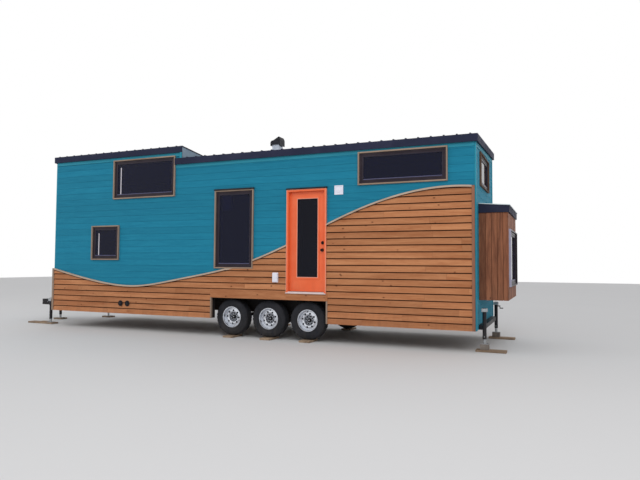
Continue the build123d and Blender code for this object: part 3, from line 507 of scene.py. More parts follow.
paints = {
    "linerPale": ((206, 200, 208), (222, 218, 224), 0.5, {"rough": 0.5, "bump": 0.05}),
    "bayCasing": ((168, 168, 190), (188, 188, 206), 0.5, {"bump": 0.05}),
    "hubBlack": ((14, 14, 18), (28, 28, 34), 0.5, {"rough": 0.35, "metallic": 0.4, "bump": 0.05, "patchSize": 20.0}),
    "boltZinc": ((176, 180, 188), (206, 208, 214), 0.5,
                 {"rough": 0.28, "metallic": 0.9, "bump": 0.05, "patchSize": 30.0}),
    "roofSteel": ((44, 45, 60), (60, 61, 78), 0.5, {"rough": 0.42, "metallic": 0.25, "bump": 0.1, "patchSize": 1.6}),
    "fasciaSlate": ((40, 44, 64), (54, 56, 78), 0.6, {"rough": 0.65, "specular": 0.12, "patchSize": 1.2, "bump": 0.1}),
    "bayRoofSlate": ((40, 42, 60), (54, 56, 76), 0.5, {"rough": 0.65, "specular": 0.12, "patchSize": 2.0, "bump": 0.1}),
    "cheekPanel": ((122, 142, 160), (146, 164, 178), 0.6,
                   {"rough": 0.4, "metallic": 0.2, "patchSize": 2.4, "bump": 0.12}),
    "paleSheet": ((196, 206, 210), (222, 230, 232), 0.5,
                  {"rough": 0.35, "metallic": 0.35, "patchSize": 4.0, "bump": 0.1}),
    "windowBronze": ((40, 31, 40), (58, 48, 56), 0.45, {"rough": 0.38, "bump": 0.08, "patchSize": 4.0}),
    "innerBead": ((38, 36, 50), (52, 50, 66), 0.5, {"rough": 0.36, "bump": 0.05, "patchSize": 5.0}),
    "sashPale": ((92, 92, 126), (112, 112, 146), 0.5, {"rough": 0.36, "bump": 0.05, "patchSize": 5.0}),
    "doorOrange": ((236, 106, 60), (245, 125, 79), 0.5,
                   {"rough": 0.36, "bump": 0.12, "patchSize": 2.6, "grime": 0.3, "foot": 0.95, "reach": 0.3,
                    "grimeColour": (150, 84, 58), "speckShade": 0.05, "coat": 0.2}),
    # The door's pale pink beads are partly bare worn edges and partly a painted highlight
    "doorEdgeWearAndHighlight": ((240, 170, 148), (246, 190, 170), 0.5, {"rough": 0.4, "bump": 0.05}),
    "sillPale": ((222, 206, 204), (236, 226, 224), 0.5,
                 {"rough": 0.35, "metallic": 0.3, "bump": 0.1, "patchSize": 6.0}),
    "blackPowder": ((26, 26, 32), (44, 44, 50), 0.5,
                    {"rough": 0.5, "bump": 0.25, "patchSize": 5.0, "grime": 0.5, "foot": 0.0, "reach": 0.9,
                     "grimeColour": (84, 74, 64)}),
    "chassisPaint": ((24, 24, 28), (44, 38, 36), 0.6,
                     {"rough": 0.6, "bump": 0.3, "patchSize": 4.0, "grime": 0.5, "foot": 0.3, "reach": 0.6,
                      "grimeColour": (78, 64, 54)}),
    "lockBlack": ((22, 20, 24), (40, 36, 40), 0.5,
                  {"rough": 0.3, "metallic": 0.6, "bump": 0.05, "patchSize": 30.0, "speckSize": 300.0}),
    "dripBlack": ((28, 28, 34), (48, 48, 54), 0.5, {"metallic": 0.2, "bump": 0.1, "patchSize": 5.0}),
    "zincTube": ((168, 172, 176), (196, 198, 200), 0.6,
                 {"rough": 0.34, "metallic": 0.85, "patchSize": 14.0, "grime": 0.3, "foot": 0.0, "reach": 0.3}),
    "rimSilver": ((212, 216, 224), (226, 229, 234), 0.5,
                  {"rough": 0.24, "metallic": 0.9, "bump": 0.03, "speckShade": 0.02, "grime": 0.2, "foot": 0.1,
                   "grimeColour": (120, 112, 104)}),
    "tyreRubber": ((34, 36, 41), (48, 48, 54), 0.6,
                   {"rough": 0.78, "bump": 0.3, "patchSize": 6.0, "grime": 0.45, "foot": 0.0, "reach": 0.75,
                    "grimeColour": (80, 74, 68), "speckShade": 0.2}),
    "whitePlastic": ((226, 226, 238), (240, 240, 246), 0.5,
                     {"rough": 0.42, "bump": 0.08, "patchSize": 12.0, "speckShade": 0.03}),
    "ventBlack": ((24, 24, 30), (46, 46, 54), 0.5, {"rough": 0.5, "patchSize": 8.0}),
    "curbPale": ((188, 196, 208), (214, 220, 230), 0.5,
                 {"rough": 0.4, "metallic": 0.3, "bump": 0.12, "patchSize": 10.0}),
    "concrete": ((120, 112, 106), (146, 138, 130), 0.7,
                 {"rough": 0.92, "bump": 1.0, "patchSize": 16.0, "speckSize": 220.0, "speckShade": 0.35, "grime": 0.6,
                  "foot": 0.0, "reach": 0.15}),
}
finishes = {name: woodMaterial(name, *colours, **look) for name, (*colours, look) in woods.items()}
finishes |= {name: paintMaterial(name, *colours, **look) for name, (*colours, look) in paints.items()}
finishes["windowGlass"] = glassMaterial("windowGlass", 44, 50, 92)
finishes["doorGlass"] = glassMaterial("doorGlass", 30, 34, 62)
print("finishes made:", len(finishes))

# The camera was fitted to the photograph: angles in radians, the focus in pixels of the image's width
camera = {"place": (7.1085, -11.493, 1.550), "yaw": 0.405139, "pitch": 0.0434322, "roll": 0.0062119, "focus": 560,
          "imageWidth": 640, "sensor": 36.0, "farthest": 200}


def makeCamera():
    yaw, pitch, roll = camera["yaw"], camera["pitch"], camera["roll"]
    level = Vector((-math.sin(yaw), math.cos(yaw), 0))
    side = Vector((math.cos(yaw), math.sin(yaw), 0))
    ahead = level * math.cos(pitch) + Vector((0, 0, math.sin(pitch)))
    top = Vector((0, 0, math.cos(pitch))) - level * math.sin(pitch)
    right = side * math.cos(roll) + top * math.sin(roll)
    up = top * math.cos(roll) - side * math.sin(roll)
    eye = bpy.data.cameras.new("photoCamera")
    eye.sensor_width = camera["sensor"]
    eye.lens = camera["sensor"] * camera["focus"] / camera["imageWidth"]
    eye.clip_end = camera["farthest"]
    holder = link(bpy.data.objects.new("photoCamera", eye))
    axes = Matrix((right, up, -ahead)).transposed().to_4x4()
    holder.matrix_world = Matrix.Translation(camera["place"]) @ axes
    bpy.context.scene.camera = holder


studio = {"floorSize": 90, "floorTone": 0.62, "floorPatch": 0.02, "floorScale": 0.4, "floorDetail": 2.0,
          "floorRough": 0.9, "sky": (0.86, 0.86, 0.86 * 1.02, 1), "skyStrength": 0.86, "aim": (0, 0, 1.5),
          "lightSize": 9, "lights": {"keyLight": ((9, -14, 12), 900), "fillLight": ((-12, -10, 9), 350)}}


def makeStudio():
    bpy.context.scene.view_settings.view_transform = "Standard"
    clearSelection()
    bpy.ops.mesh.primitive_plane_add(size=studio["floorSize"])
    floor = bpy.context.object
    floor.name = "studioFloor"
    material, tree, shader, where = startMaterial("studioFloor")
    tone = noise(tree, where, studio["floorScale"], studio["floorDetail"])
    low, high = studio["floorTone"], studio["floorTone"] + studio["floorPatch"]
    setShader(tree, shader, Base_Color=blendColour(tree, tone, (low, low, low, 1), (high, high, high, 1)),
              Roughness=studio["floorRough"])
    floor.data.materials.append(material)
    world = bpy.data.worlds.new("studio")
    bpy.context.scene.world = world
    world.use_nodes = True
    tree = world.node_tree
    tree.nodes.clear()
    # Camera, transmission and glossy rays find white, and all others a softer grey
    soft = addNode(tree, "Background", {"Color": studio["sky"], "Strength": studio["skyStrength"]})
    white = addNode(tree, "Background", {"Color": (1, 1, 1, 1), "Strength": 1.0})
    ray = tree.nodes.new("ShaderNodeLightPath").outputs
    seen = calculate(tree, "MAXIMUM", ray["Is Camera Ray"], ray["Is Transmission Ray"])
    seen = calculate(tree, "MAXIMUM", seen, ray["Is Glossy Ray"])
    mixer = tree.nodes.new("ShaderNodeMixShader")
    for socket, value in zip(mixer.inputs, (seen, soft.outputs[0], white.outputs[0])):
        tree.links.new(value, socket)
    output = tree.nodes.new("ShaderNodeOutputWorld")
    tree.links.new(mixer.outputs[0], output.inputs[0])
    for name, (place, power) in studio["lights"].items():
        light = bpy.data.lights.new(name, "AREA")
        light.energy = power
        light.size = studio["lightSize"]
        holder = link(bpy.data.objects.new(name, light))
        holder.location = place
        holder.visible_glossy = False
        holder.rotation_euler = (Vector(studio["aim"]) - Vector(place)).to_track_quat("-Z", "Y").to_euler()


makeCamera()
makeStudio()
print("camera and studio set")

# Where the openings and the moving parts are, read off the CAD nodes
windowBoxes = solidBoxes("window_trims")
frameBoxes = solidBoxes("window_frames")
glassBoxes = solidBoxes("window_glass")
doorLow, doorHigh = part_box("door_frame")
leafLow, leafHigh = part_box("door_leaf")
bayLow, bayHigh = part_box("bay_walls")
stepLow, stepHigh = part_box("roof_step")
wallLeft, wallNear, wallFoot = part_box("front_wall_left")[0]
wallRight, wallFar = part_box("front_wall_right")[1].x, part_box("back_wall")[1].y
roofs = {
    "main": {"box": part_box("main_roof"), "slope": 0.046},
    "loft": {"box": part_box("loft_roof"), "slope": -0.1},
}
# How far a cutter reaches through what it cuts
through = 0.1


def underside(roof, y):
    (low, high), slope = roofs[roof]["box"], roofs[roof]["slope"]
    return low.z + slope * (y - (low.y if slope > 0 else high.y))


def windowsOn(wall):
    return [box for box in windowBoxes if wallOf(*box) == wall and box[1].x < bayHigh.x]


def widened(box, wall, by, deeper=0.0):
    # A box that grows along its wall and up by one measure, and through the wall by another
    return grown(box, (by, deeper, by) if wall in longWalls else (deeper, by, by))


siding = {"cedarStep": 0.1285, "cedarGap": 0.0205, "cedarTip": 0.030, "cedarButt": 0.0445, "cedarBack": 0.019,
          "cedarPast": 0.01, "cedarDrop": 0.001, "backingShare": 0.5, "outlineShare": 1.2, "lengths": (2.6, 4.4),
          "shortest": 0.05, "jointGap": 0.0025, "bow": 0.0012, "tealStep": 0.1435, "tealGap": 0.0028,
          "tealProud": 0.014, "tealTip": 0.0125, "tealBack": 0.004, "tealSheet": 0.006, "tealLeast": 0.02,
          "tealFoot": 0.93, "tongueFoot": 1.2, "pastStep": 0.03, "underRoof": 0.002, "underSlope": 0.001,
          "tuck": 0.012, "bayEnds": (5.0, 7.0), "bayTuck": (0, -0.004, -0.03)}
draw = random.Random(5)


def wholeBoard(start, end, bottom, top, butt, tip, back):
    # A board is a wedge, thick at its bottom edge, with a tone of its own
    seam = siding["jointGap"] / 2
    return (start + seam, end - seam, bottom, top, butt, tip, back, draw.random())


def cedarCourses(start, end, low, high):
    # Boards end to end, each with its own length and bow
    seam = siding["jointGap"] / 2
    courses = []
    bottom = low
    while bottom < high:
        top = bottom + siding["cedarStep"] - siding["cedarGap"]
        place = start - draw.uniform(0, siding["lengths"][0])
        while place < end:
            length = draw.uniform(*siding["lengths"])
            left, right = max(start, place), min(end, place + length)
            place += length
            if right - left < siding["shortest"]:
                continue
            tone, bow = draw.random(), draw.uniform(0, siding["bow"])
            courses.append((left + seam, right - seam, bottom, top, siding["cedarButt"] + bow, siding["cedarTip"] + bow,
                            siding["cedarBack"], tone))
        bottom += siding["cedarStep"]
    return courses


def makeBoards(name, courses):
    # The first board is a cube from 0 to 1, and the rest are stretched copies of it
    clearSelection()
    bpy.ops.mesh.primitive_cube_add(size=1, location=(0.5, 0.5, 0.5))
    first = bakePlace(bpy.context.object)
    boards = []
    for left, right, bottom, top, butt, tip, back, tone in courses:
        board = twin(first, name)
        for vertex in board.data.vertices:
            x, y, z = vertex.co
            outer = butt if z < 0.5 else tip
            vertex.co = (left + (right - left) * x, -outer if y < 0.5 else -back, bottom + (top - bottom) * z)
        boards.append(toneOn(board, tone))
    bpy.data.objects.remove(first)
    return join(name, boards)


# Cedar cladding on all sides: boards cut to the CAD cladding's outline, each run over a dark backing, partly the
# cedar's dark stain and partly painted shade in the gaps between courses
cedarNodes = ("cladding_left", "cladding_right", "cladding_under_door", "back_cladding")
cedarBoards, cedarBackings, cedarEndBoards = [], [], []
for nodeName in cedarNodes:
    for solid in nodeSolids(nodeName):
        low, high = boxOf(solid)
        wallName = wallOf(low, high)
        axis = 1 if wallName in longWalls else 0
        face = walls[wallName]["origin"][axis]
        outline = twin(solid, "outline")
        for piece, share in ((solid, siding["backingShare"]), (outline, siding["outlineShare"])):
            for vertex in piece.data.vertices:
                vertex.co[axis] = face + (vertex.co[axis] - face) * share
        start, end = spanOn(wallName, (low, high))[0]
        # Courses line up all round the house, from its foot
        lift = siding["cedarStep"] * math.floor((low.z - wallFoot) / siding["cedarStep"])
        courses = cedarCourses(start - siding["cedarPast"], end + siding["cedarPast"],
                               wallFoot + lift - siding["cedarDrop"], high.z)
        boards = cutWith(ontoWall(makeBoards("cedar", courses), wallName), outline, "INTERSECT")
        cedarBackings.append(solid)
        (cedarEndBoards if wallName == "tongue" else cedarBoards).append(boards)
finish("cedar_boards", cedarBoards, "cedar", "cedarLong", *cedarNodes)
finish("cedar_end_boards", cedarEndBoards, "cedar", "cedarEnd")
finish("cedar_backing", cedarBackings, "cedar", "cedarStainAndShade")
print("cedar done")

# Over the wheels a plain apron board hides the courses, and strips cover the opening's two edges
apron = {"out": 0.0475, "back": 0.002, "top": 1.0135, "doorTop": 0.967, "strip": 0.032, "bevel": 0.003,
         "seam": 0.0015, "lid": 0.005, "lidSink": 0.004, "lidGap": 0.0005, "depth": 0.101, "pastAxle": 0.105,
         "stripProud": 0.001, "tones": (0.3, 0.8)}
axleLow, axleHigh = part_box("axles")
archStart, archEnd = axleLow.x - apron["pastAxle"], axleHigh.x + apron["pastAxle"]
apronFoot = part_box("cladding_under_door")[0].z


def apronBlock(side, start, end, out, heights, bevel=apron["bevel"]):
    # The far side mirrors the door side
    flip = 1 if side == "door" else -1
    return blockOn("apron", side, sorted((flip * start, flip * end)), out, heights, bevel)


aprons, strips, liners = [], [], []
stripOut, edge, rise = apron["out"] + apron["stripProud"], apron["strip"], (wallFoot, apronFoot)
for side in longWalls:
    runs = [(archStart, archEnd, apron["top"])]
    if side == "door":
        runs = [(archStart, doorLow.x, apron["top"]), (doorLow.x, doorHigh.x, apron["doorTop"])]
    for start, end, top in runs:
        board = apronBlock(side, start + apron["seam"] / 2, end - apron["seam"] / 2, (apron["back"], apron["out"]),
                           (apronFoot, top))
        aprons.append(toneOn(board, draw.uniform(*apron["tones"])))
    for start in (archStart, archEnd - edge):
        strips.append(toneOn(apronBlock(side, start, start + edge, (0, stripOut), rise), draw.random()))
        liners.append(apronBlock(side, start, start + edge, (-apron["depth"], 0), rise))
    liners.append(apronBlock(side, archStart + edge, archEnd - edge, (-apron["depth"], apron["out"] - apron["lidSink"]),
                             (apronFoot - apron["lid"], apronFoot - apron["lidGap"]), 0))
    board = apronBlock(side, archEnd - edge, archEnd, (apron["back"], stripOut), (apronFoot, runs[-1][2]))
    aprons.append(toneOn(board, draw.random()))
finish("apron_boards", aprons, "cedar", "cedarLong")
finish("wheel_bay_strips", strips, "cedar", "trimUpright")
finish("wheel_bay_liners", liners, "chassis_paint", "chassisPaint")
print("apron done")


# Teal boards on the four walls, cut round the openings, under a lighter frieze and corner boards
def slopeCut(piece, roof):
    # Take off what stands above a roof's underside
    pick(piece)
    editAll()
    bpy.ops.mesh.bisect(plane_co=(0, 0, underside(roof, 0) - siding["underSlope"]),
                        plane_no=(0, -roofs[roof]["slope"], 1), use_fill=True, clear_outer=True)
    leaveEdit()
    return piece


def makeTeal(wall, spans, cuts, foot, roof):
    # Each board runs the wall's whole length, and stops at a roof's step only where it passes the lower roof
    back, sheet = -siding["tealBack"], siding["tealSheet"]
    heads = [head for start, end, head in spans]
    courses = []
    level = foot
    while level < max(heads):
        top = level + siding["tealStep"] - siding["tealGap"]
        runs = [(start, end, min(top, head)) for start, end, head in spans if level < head - siding["tealLeast"]]
        if len(runs) == len(spans) and top < min(heads):
            runs = [(spans[0][0], spans[-1][1], top)]
        courses += [wholeBoard(start, end, level, head, siding["tealProud"], siding["tealTip"], back)
                    for start, end, head in runs]
        level += siding["tealStep"]
    sheets = [wholeBoard(start, end, foot, head, sheet, sheet, back) for start, end, head in spans]
    made = []
    for name, pieces in (("teal", courses), ("sheet", sheets)):
        boards = ontoWall(makeBoards(name, pieces), wall)
        if cuts:
            cutBoxes(boards, cuts)
        made.append(slopeCut(boards, roof) if roof else boards)
    return made


def headUnder(roof, y):
    return underside(roof, y) - siding["underRoof"]


split = stepLow.x + siding["pastStep"]
tealWalls = {
    "door": ([(wallLeft, split, headUnder("loft", wallNear)), (split, wallRight, headUnder("main", wallNear))],
             siding["tealFoot"], None),
    "far": ([(-wallRight, -split, headUnder("main", wallFar)), (-split, -wallLeft, headUnder("loft", wallFar))],
            siding["tealFoot"], None),
    "tail": ([(wallNear, wallFar, roofs["main"]["box"][1].z)], wallFoot, "main"),
    "tongue": ([(-wallFar, -wallNear, roofs["loft"]["box"][1].z)], siding["tongueFoot"], "loft"),
}
bayStart, bayEnd = siding["bayEnds"]
bayBox = (Vector((bayStart, bayLow.y, bayLow.z)), Vector((bayEnd, bayHigh.y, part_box("bay_roof_sheet")[1].z)))
tealParts, tealEndParts, tealSheets = [], [], []
for wallName, (spans, foot, roof) in tealWalls.items():
    holes = windowsOn(wallName) + ([(doorLow, doorHigh)] if wallName == "door" else [])
    cuts = [widened(box, wallName, -siding["tuck"], through) for box in holes]
    if wallName == "tail":
        cuts.append(grown(bayBox, siding["bayTuck"]))
    boards, sheet = makeTeal(wallName, spans, cuts, foot, roof)
    (tealParts if wallName in longWalls else tealEndParts).append(boards)
    tealSheets.append(sheet)
finish("teal_boards", tealParts, "teal_siding", "tealLong")
finish("teal_end_boards", tealEndParts, "teal_siding", "tealEnd")
# The backing sheet's darker teal is painted shade in the board gaps
finish("teal_backing", tealSheets, "teal_siding", "tealBackingShade")

friezes = {"height": 0.078, "behind": 0.02, "proud": 0.024, "bevel": 0.003, "eave": 1.333, "drop": 0.031, "lap": 0.001,
           "rakeInset": 0.02, "underRoof": 0.001, "corner": 0.09, "cornerProud": 0.026, "cornerPast": 0.014,
           "cornerFoot": 1.414, "cornerBevel": 0.004}


def sloped(piece, slope, origin):
    for vertex in piece.data.vertices:
        vertex.co.z += slope * (vertex.co.y - origin)
    return piece


def fasciaFoot(roof, out):
    return underside(roof, out * friezes["eave"]) - friezes["drop"]


levelTrims, uprightTrims, rakeTrims = [], [], []
loftTrimEnd = max(box[1].x for box in windowsOn("door") if box[1].x < stepLow.x)
for side, face, out, mainStart in (("door", wallNear, -1, loftTrimEnd), ("far", wallFar, 1, stepLow.x)):
    near, far = sorted((face, face + out * friezes["proud"]))
    cuts = [widened(box, side, friezes["lap"], through) for box in windowsOn(side)]
    for roof, start, end in (("loft", wallLeft, stepLow.x), ("main", mainStart, wallRight)):
        foot = fasciaFoot(roof, out)
        block = addBlock("frieze", (start, near, foot - friezes["height"]), (end, far, foot + friezes["behind"]),
                         friezes["bevel"])
        levelTrims.append(toneOn(cutBoxes(block, cuts), draw.random()))
for roof, face, out in (("main", wallRight, 1), ("loft", wallLeft, -1)):
    left, right = sorted((face, face + out * friezes["proud"]))
    eave = underside(roof, wallNear)
    block = addBlock("rake", (left, wallNear + friezes["rakeInset"], eave - friezes["drop"] - friezes["height"]),
                     (right, wallFar - friezes["rakeInset"], eave - friezes["underRoof"]), friezes["bevel"])
    rakeTrims.append(toneOn(sloped(block, roofs[roof]["slope"], wallNear), draw.random()))
for roof, face, out, foot in (("main", wallRight, 1, wallFoot), ("loft", wallLeft, -1, friezes["cornerFoot"])):
    left, right = sorted((face, face + out * friezes["cornerProud"]))
    for wallY, inward in ((wallNear, 1), (wallFar, -1)):
        edge = wallY - inward * friezes["cornerPast"]
        near, far = sorted((edge, edge + inward * friezes["corner"]))
        top = min(underside(roof, near), underside(roof, far)) - friezes["drop"]
        block = addBlock("corner", (left, near, foot), (right, far, top), friezes["cornerBevel"])
        uprightTrims.append(toneOn(block, draw.random()))
finish("frieze_boards", levelTrims, "teal_siding", "tealTrim")
finish("rake_friezes", rakeTrims, "teal_siding", "tealRake")
finish("teal_corners", uprightTrims, "teal_siding", "tealUpright")
print("teal siding done")

# Corner boards: grey and pale at the tongue, browner at the tail
tongueCorners, tailCorners = [], []
for corner in nodeSolids("corner_trims"):
    (tongueCorners if boxOf(corner)[1].x < 0 else tailCorners).append(toneOn(corner, draw.random()))
finish("corner_boards_tongue", tongueCorners, "trim_wood", "trimUpright", "corner_trims")
finish("corner_boards_tail", tailCorners, "trim_wood", "cedarCorner")
print("corner boards done")

# Wave: the trim's lower edge lies in its own shadow line over the cedar. Strips across the ends have none
waveShade = {"drop": 0.034, "proud": 0.0006, "acrossFrom": 1}
shades = []
for strip, lower in zip(nodeSolids("wave_trims"), nodeSolids("wave_trims")):
    low, high = boxOf(strip)
    if high.y - low.y > waveShade["acrossFrom"]:
        bpy.data.objects.remove(strip)
        bpy.data.objects.remove(lower)
        continue
    for vertex in lower.data.vertices:
        vertex.co.z -= waveShade["drop"]
    cutWith(strip, lower, "INTERSECT")
    for vertex in strip.data.vertices:
        vertex.co.y += (-1 if low.y < 0 else 1) * waveShade["proud"]
    shades.append(toneOn(strip, draw.random()))
finish("wave_shadow_edges", shades, "trim_wood", "cedarStainAndShade")
print("wave edges done")

# Windows: stepped bronze frames with a slate bead, wood trims outside and pale liners inside
window = {"frameOut": 0.017, "frameBack": 0.034, "beadInset": 0.047, "beadOut": 0.0135, "beadBack": 0.012,
          "frameSteps": ((.003, .003), (.014, 0), (.002, -.009), (.005, 0), (.002, .005), (.022, 0),
                         (.012, -.012), (.002, -.001)),
          "beadSteps": ((.0015, .002), (.009, 0), (.002, -.003)), "linerGrow": 0.016, "linerWidth": 0.021,
          "linerFrom": -0.0105, "linerBack": 0.088, "trimBevel": 0.004, "trimShare": 0.6, "levelGap": 0.0005,
          "levelSink": 0.003, "stopInset": 0.056, "stopOut": 0.0145, "stopHeight": 0.012, "stopBevel": 0.002,
          "revealInset": 0.160, "revealWidth": 0.024, "revealThick": 0.004, "revealDrop": 0.150,
          "revealSink": 0.001, "revealBevel": 0.001, "revealPast": 0.1}


def ringOn(name, wall, box, out, steps, back):
    # A rectangular ring in a wall's own space: a plane is inset step by step, opened and given depth
    (left, right), _, (foot, head) = spanOn(wall, box)
    clearSelection()
    bpy.ops.mesh.primitive_plane_add(
        size=1, location=((left + right) / 2, -out, (foot + head) / 2), rotation=(math.radians(90), 0, 0))
    ring = bpy.context.object
    ring.name = name
    ring.scale = (right - left, head - foot, 1)
    bakePlace(ring)
    editAll()
    for thickness, depth in steps:
        bpy.ops.mesh.inset(thickness=thickness, depth=depth, use_boundary=True, use_even_offset=True)
    bpy.ops.mesh.delete(type="FACE")
    bpy.ops.mesh.select_all(action="DESELECT")
    bpy.ops.mesh.select_mode(type="EDGE")
    bpy.ops.mesh.select_non_manifold()
    bpy.ops.mesh.extrude_region_move()
    leaveEdit()
    for vertex in ring.data.vertices:
        if vertex.select:
            vertex.co.y = -out + back
    bpy.ops.object.mode_set(mode="EDIT")
    bpy.ops.mesh.bridge_edge_loops()
    bpy.ops.mesh.select_all(action="SELECT")
    bpy.ops.mesh.normals_make_consistent(inside=False)
    leaveEdit()
    return ontoWall(ring, wall)


windowLooks = {
    "window_frame_rings": ("window_bronze", "windowBronze", "window_frames"),
    "window_beads": ("window_bronze", "innerBead"),
    "window_liners": ("trim_wood", "linerPale"),
    "window_side_trims": ("trim_wood", "trimUpright", "window_trims"),
    "window_bottom_stops": ("window_bronze", "sashPale"),
    "window_reveals": ("trim_wood", "linerPale"),
    "bay_window_casings": ("trim_wood", "bayCasing"),
    "bay_window_caps": ("trim_wood", "windowBronze"),
    "window_end_sides": ("trim_wood", "trimDark"),
    "window_level_trims": ("trim_wood", "trimLong"),
    "window_end_trims": ("trim_wood", "trimAcross"),
}
windowParts = {name: [] for name in windowLooks}
for trimBox, frameBox, glassBox in zip(windowBoxes, frameBoxes, glassBoxes):
    wallName = wallOf(*trimBox)
    along, out, heights = spanOn(wallName, trimBox)
    # The frame laps over a share of the trim, and all that it holds moves with its edge
    lap = (1 - window["trimShare"]) * (spanOn(wallName, frameBox)[0][0] - along[0])
    frameBox = widened(frameBox, wallName, lap)
    frameAlong, _, frameHeights = spanOn(wallName, frameBox)
    first, (wide, flat), *rest = window["frameSteps"]
    windowParts["window_frame_rings"].append(
        ringOn("frame", wallName, frameBox, out[0] + window["frameOut"], (first, (wide + lap, flat), *rest),
               window["frameBack"] + window["frameOut"]))
    windowParts["window_beads"].append(
        ringOn("bead", wallName, widened(frameBox, wallName, -window["beadInset"] - lap), out[0] + window["beadOut"],
               window["beadSteps"], window["beadBack"]))
    windowParts["window_liners"].append(
        ringOn("liner", wallName, widened(glassBox, wallName, window["linerGrow"]), out[0] + window["linerFrom"],
               ((window["linerWidth"], 0),), window["linerBack"]))
    sideNames = ["window_end_sides" if wallName == "tail" else "window_side_trims"] * 2
    levelName = "window_level_trims" if wallName in longWalls else "window_end_trims"
    if trimBox[1].x > bayHigh.x:
        sideNames, levelName = ("bay_window_casings", "bay_window_caps"), "bay_window_caps"
    for name, ends in zip(sideNames, ((along[0], frameAlong[0]), (frameAlong[1], along[1]))):
        block = blockOn("side", wallName, ends, out, heights, window["trimBevel"])
        windowParts[name].append(toneOn(block, draw.random()))
    paneOut = spanOn(wallName, glassBox)[1][1]
    shift = window["stopInset"] + lap
    stopFoot = frameHeights[0] + shift
    stopHead = stopFoot + window["stopHeight"]
    windowParts["window_bottom_stops"].append(
        blockOn("stop", wallName, (frameAlong[0] + shift, frameAlong[1] - shift),
                (paneOut, out[0] + window["stopOut"]), (stopFoot, stopHead), window["stopBevel"]))
    if trimBox[1].x < stepLow.x + window["revealPast"] and wallName == "door":
        start = frameAlong[0] + window["revealInset"]
        windowParts["window_reveals"].append(
            blockOn("reveal", wallName, (start, start + window["revealWidth"]),
                    (paneOut - window["revealSink"], paneOut + window["revealThick"]),
                    (stopHead, frameHeights[1] - window["revealDrop"]), window["revealBevel"]))
    for ends in ((heights[0], frameHeights[0]), (frameHeights[1], heights[1])):
        block = blockOn("level", wallName, (frameAlong[0] + window["levelGap"], frameAlong[1] - window["levelGap"]),
                        (out[0], out[1] - window["levelSink"]), ends, window["trimBevel"])
        windowParts[levelName].append(toneOn(block, draw.random()))
for name, looks in windowLooks.items():
    finish(name, windowParts[name], *looks)
print("windows done")

# Door: pale beads on the frame's edges and round the glass, partly the bare worn edges and partly a painted highlight
doorStyle = {"edge": 0.009, "proud": 0.0035, "sink": 0.004, "lift": 0.03, "bevel": 0.002, "glassLap": 0.004,
             "beadBack": 0.006, "beadSteps": ((.0015, .002), (.007, 0), (.0015, -.002))}
inLeft, inRight = doorLow.x + doorStyle["edge"], doorHigh.x - doorStyle["edge"]
lift = doorLow.z + doorStyle["lift"]
front, back = doorLow.y - doorStyle["proud"], doorLow.y + doorStyle["sink"]
edges = [addBlock("edge", (start, front, foot), (end, back, doorHigh.z), doorStyle["bevel"])
         for start, end, foot in ((doorLow.x, inLeft, lift), (inRight, doorHigh.x, lift),
                                  (inLeft, inRight, doorHigh.z - doorStyle["edge"]))]
finish("door_frame_edges", edges, "door_orange", "doorEdgeWearAndHighlight")
bead = ringOn("bead", "door", widened(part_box("door_glass"), "door", doorStyle["glassLap"]), wallNear - leafLow.y,
              doorStyle["beadSteps"], doorStyle["beadBack"])
finish("door_glass_beads", [bead], "door_orange", "doorEdgeWearAndHighlight", body="door")
print("door done")

# Bay: upright boards with dark seams on its three faces
bayStyle = {"widths": (0.095, 0.125), "gap": 0.007, "thick": 0.013, "bevel": 0.003, "sink": 0.001, "wear": 0.0015,
            "least": 0.03, "narrowest": 0.06, "footDrop": 0.006, "headDrop": 0.001, "wallGap": 0.012, "past": 0.001,
            "tuck": 0.006}


def uprightBoards(wall, start, end, face):
    heights = (bayLow.z - bayStyle["footDrop"], bayHigh.z - bayStyle["headDrop"])
    boards = []
    place = start
    while place < end - bayStyle["least"]:
        width = draw.uniform(*bayStyle["widths"])
        edge = end if end - place - width < bayStyle["narrowest"] else place + width
        out = (face - bayStyle["sink"], face + bayStyle["thick"] - draw.uniform(0, bayStyle["wear"]))
        board = blockOn("board", wall, (place + bayStyle["gap"] / 2, edge - bayStyle["gap"] / 2), out, heights,
                        bayStyle["bevel"])
        boards.append(toneOn(board, draw.random()))
        place = edge
    return boards


start, end = bayLow.x + bayStyle["wallGap"], bayHigh.x + bayStyle["past"]
sideBoards = uprightBoards("door", start, end, wallNear - bayLow.y)
sideBoards += uprightBoards("far", -end, -start, bayHigh.y - wallFar)
endBoards = uprightBoards("tail", bayLow.y - bayStyle["thick"], bayHigh.y + bayStyle["thick"], bayHigh.x - bayLow.x)
hole = [widened(box, "tail", -bayStyle["tuck"], through) for box in windowBoxes if box[1].x > bayHigh.x]
finish("bay_boards", sideBoards + [cutBoxes(board, hole) for board in endBoards], "bay_boards", "bayBoards")
print("bay done")

# Wheels: each piece is made once, round an axle along Y, then copied to the six places
wheel = {"steps": 96, "lugDepth": 0.007, "lugEvery": 3, "shoulder": 0.0625, "shoulderRadius": 0.358, "bead": 0.2135,
         "shell": 0.004, "holes": 8, "holeRadius": 0.0205, "holeRing": 0.138, "holeShift": 0.5,
         "holeEnds": (-0.12, -0.02), "nuts": 8, "nutRing": 0.0725, "nutSeat": 0.004}
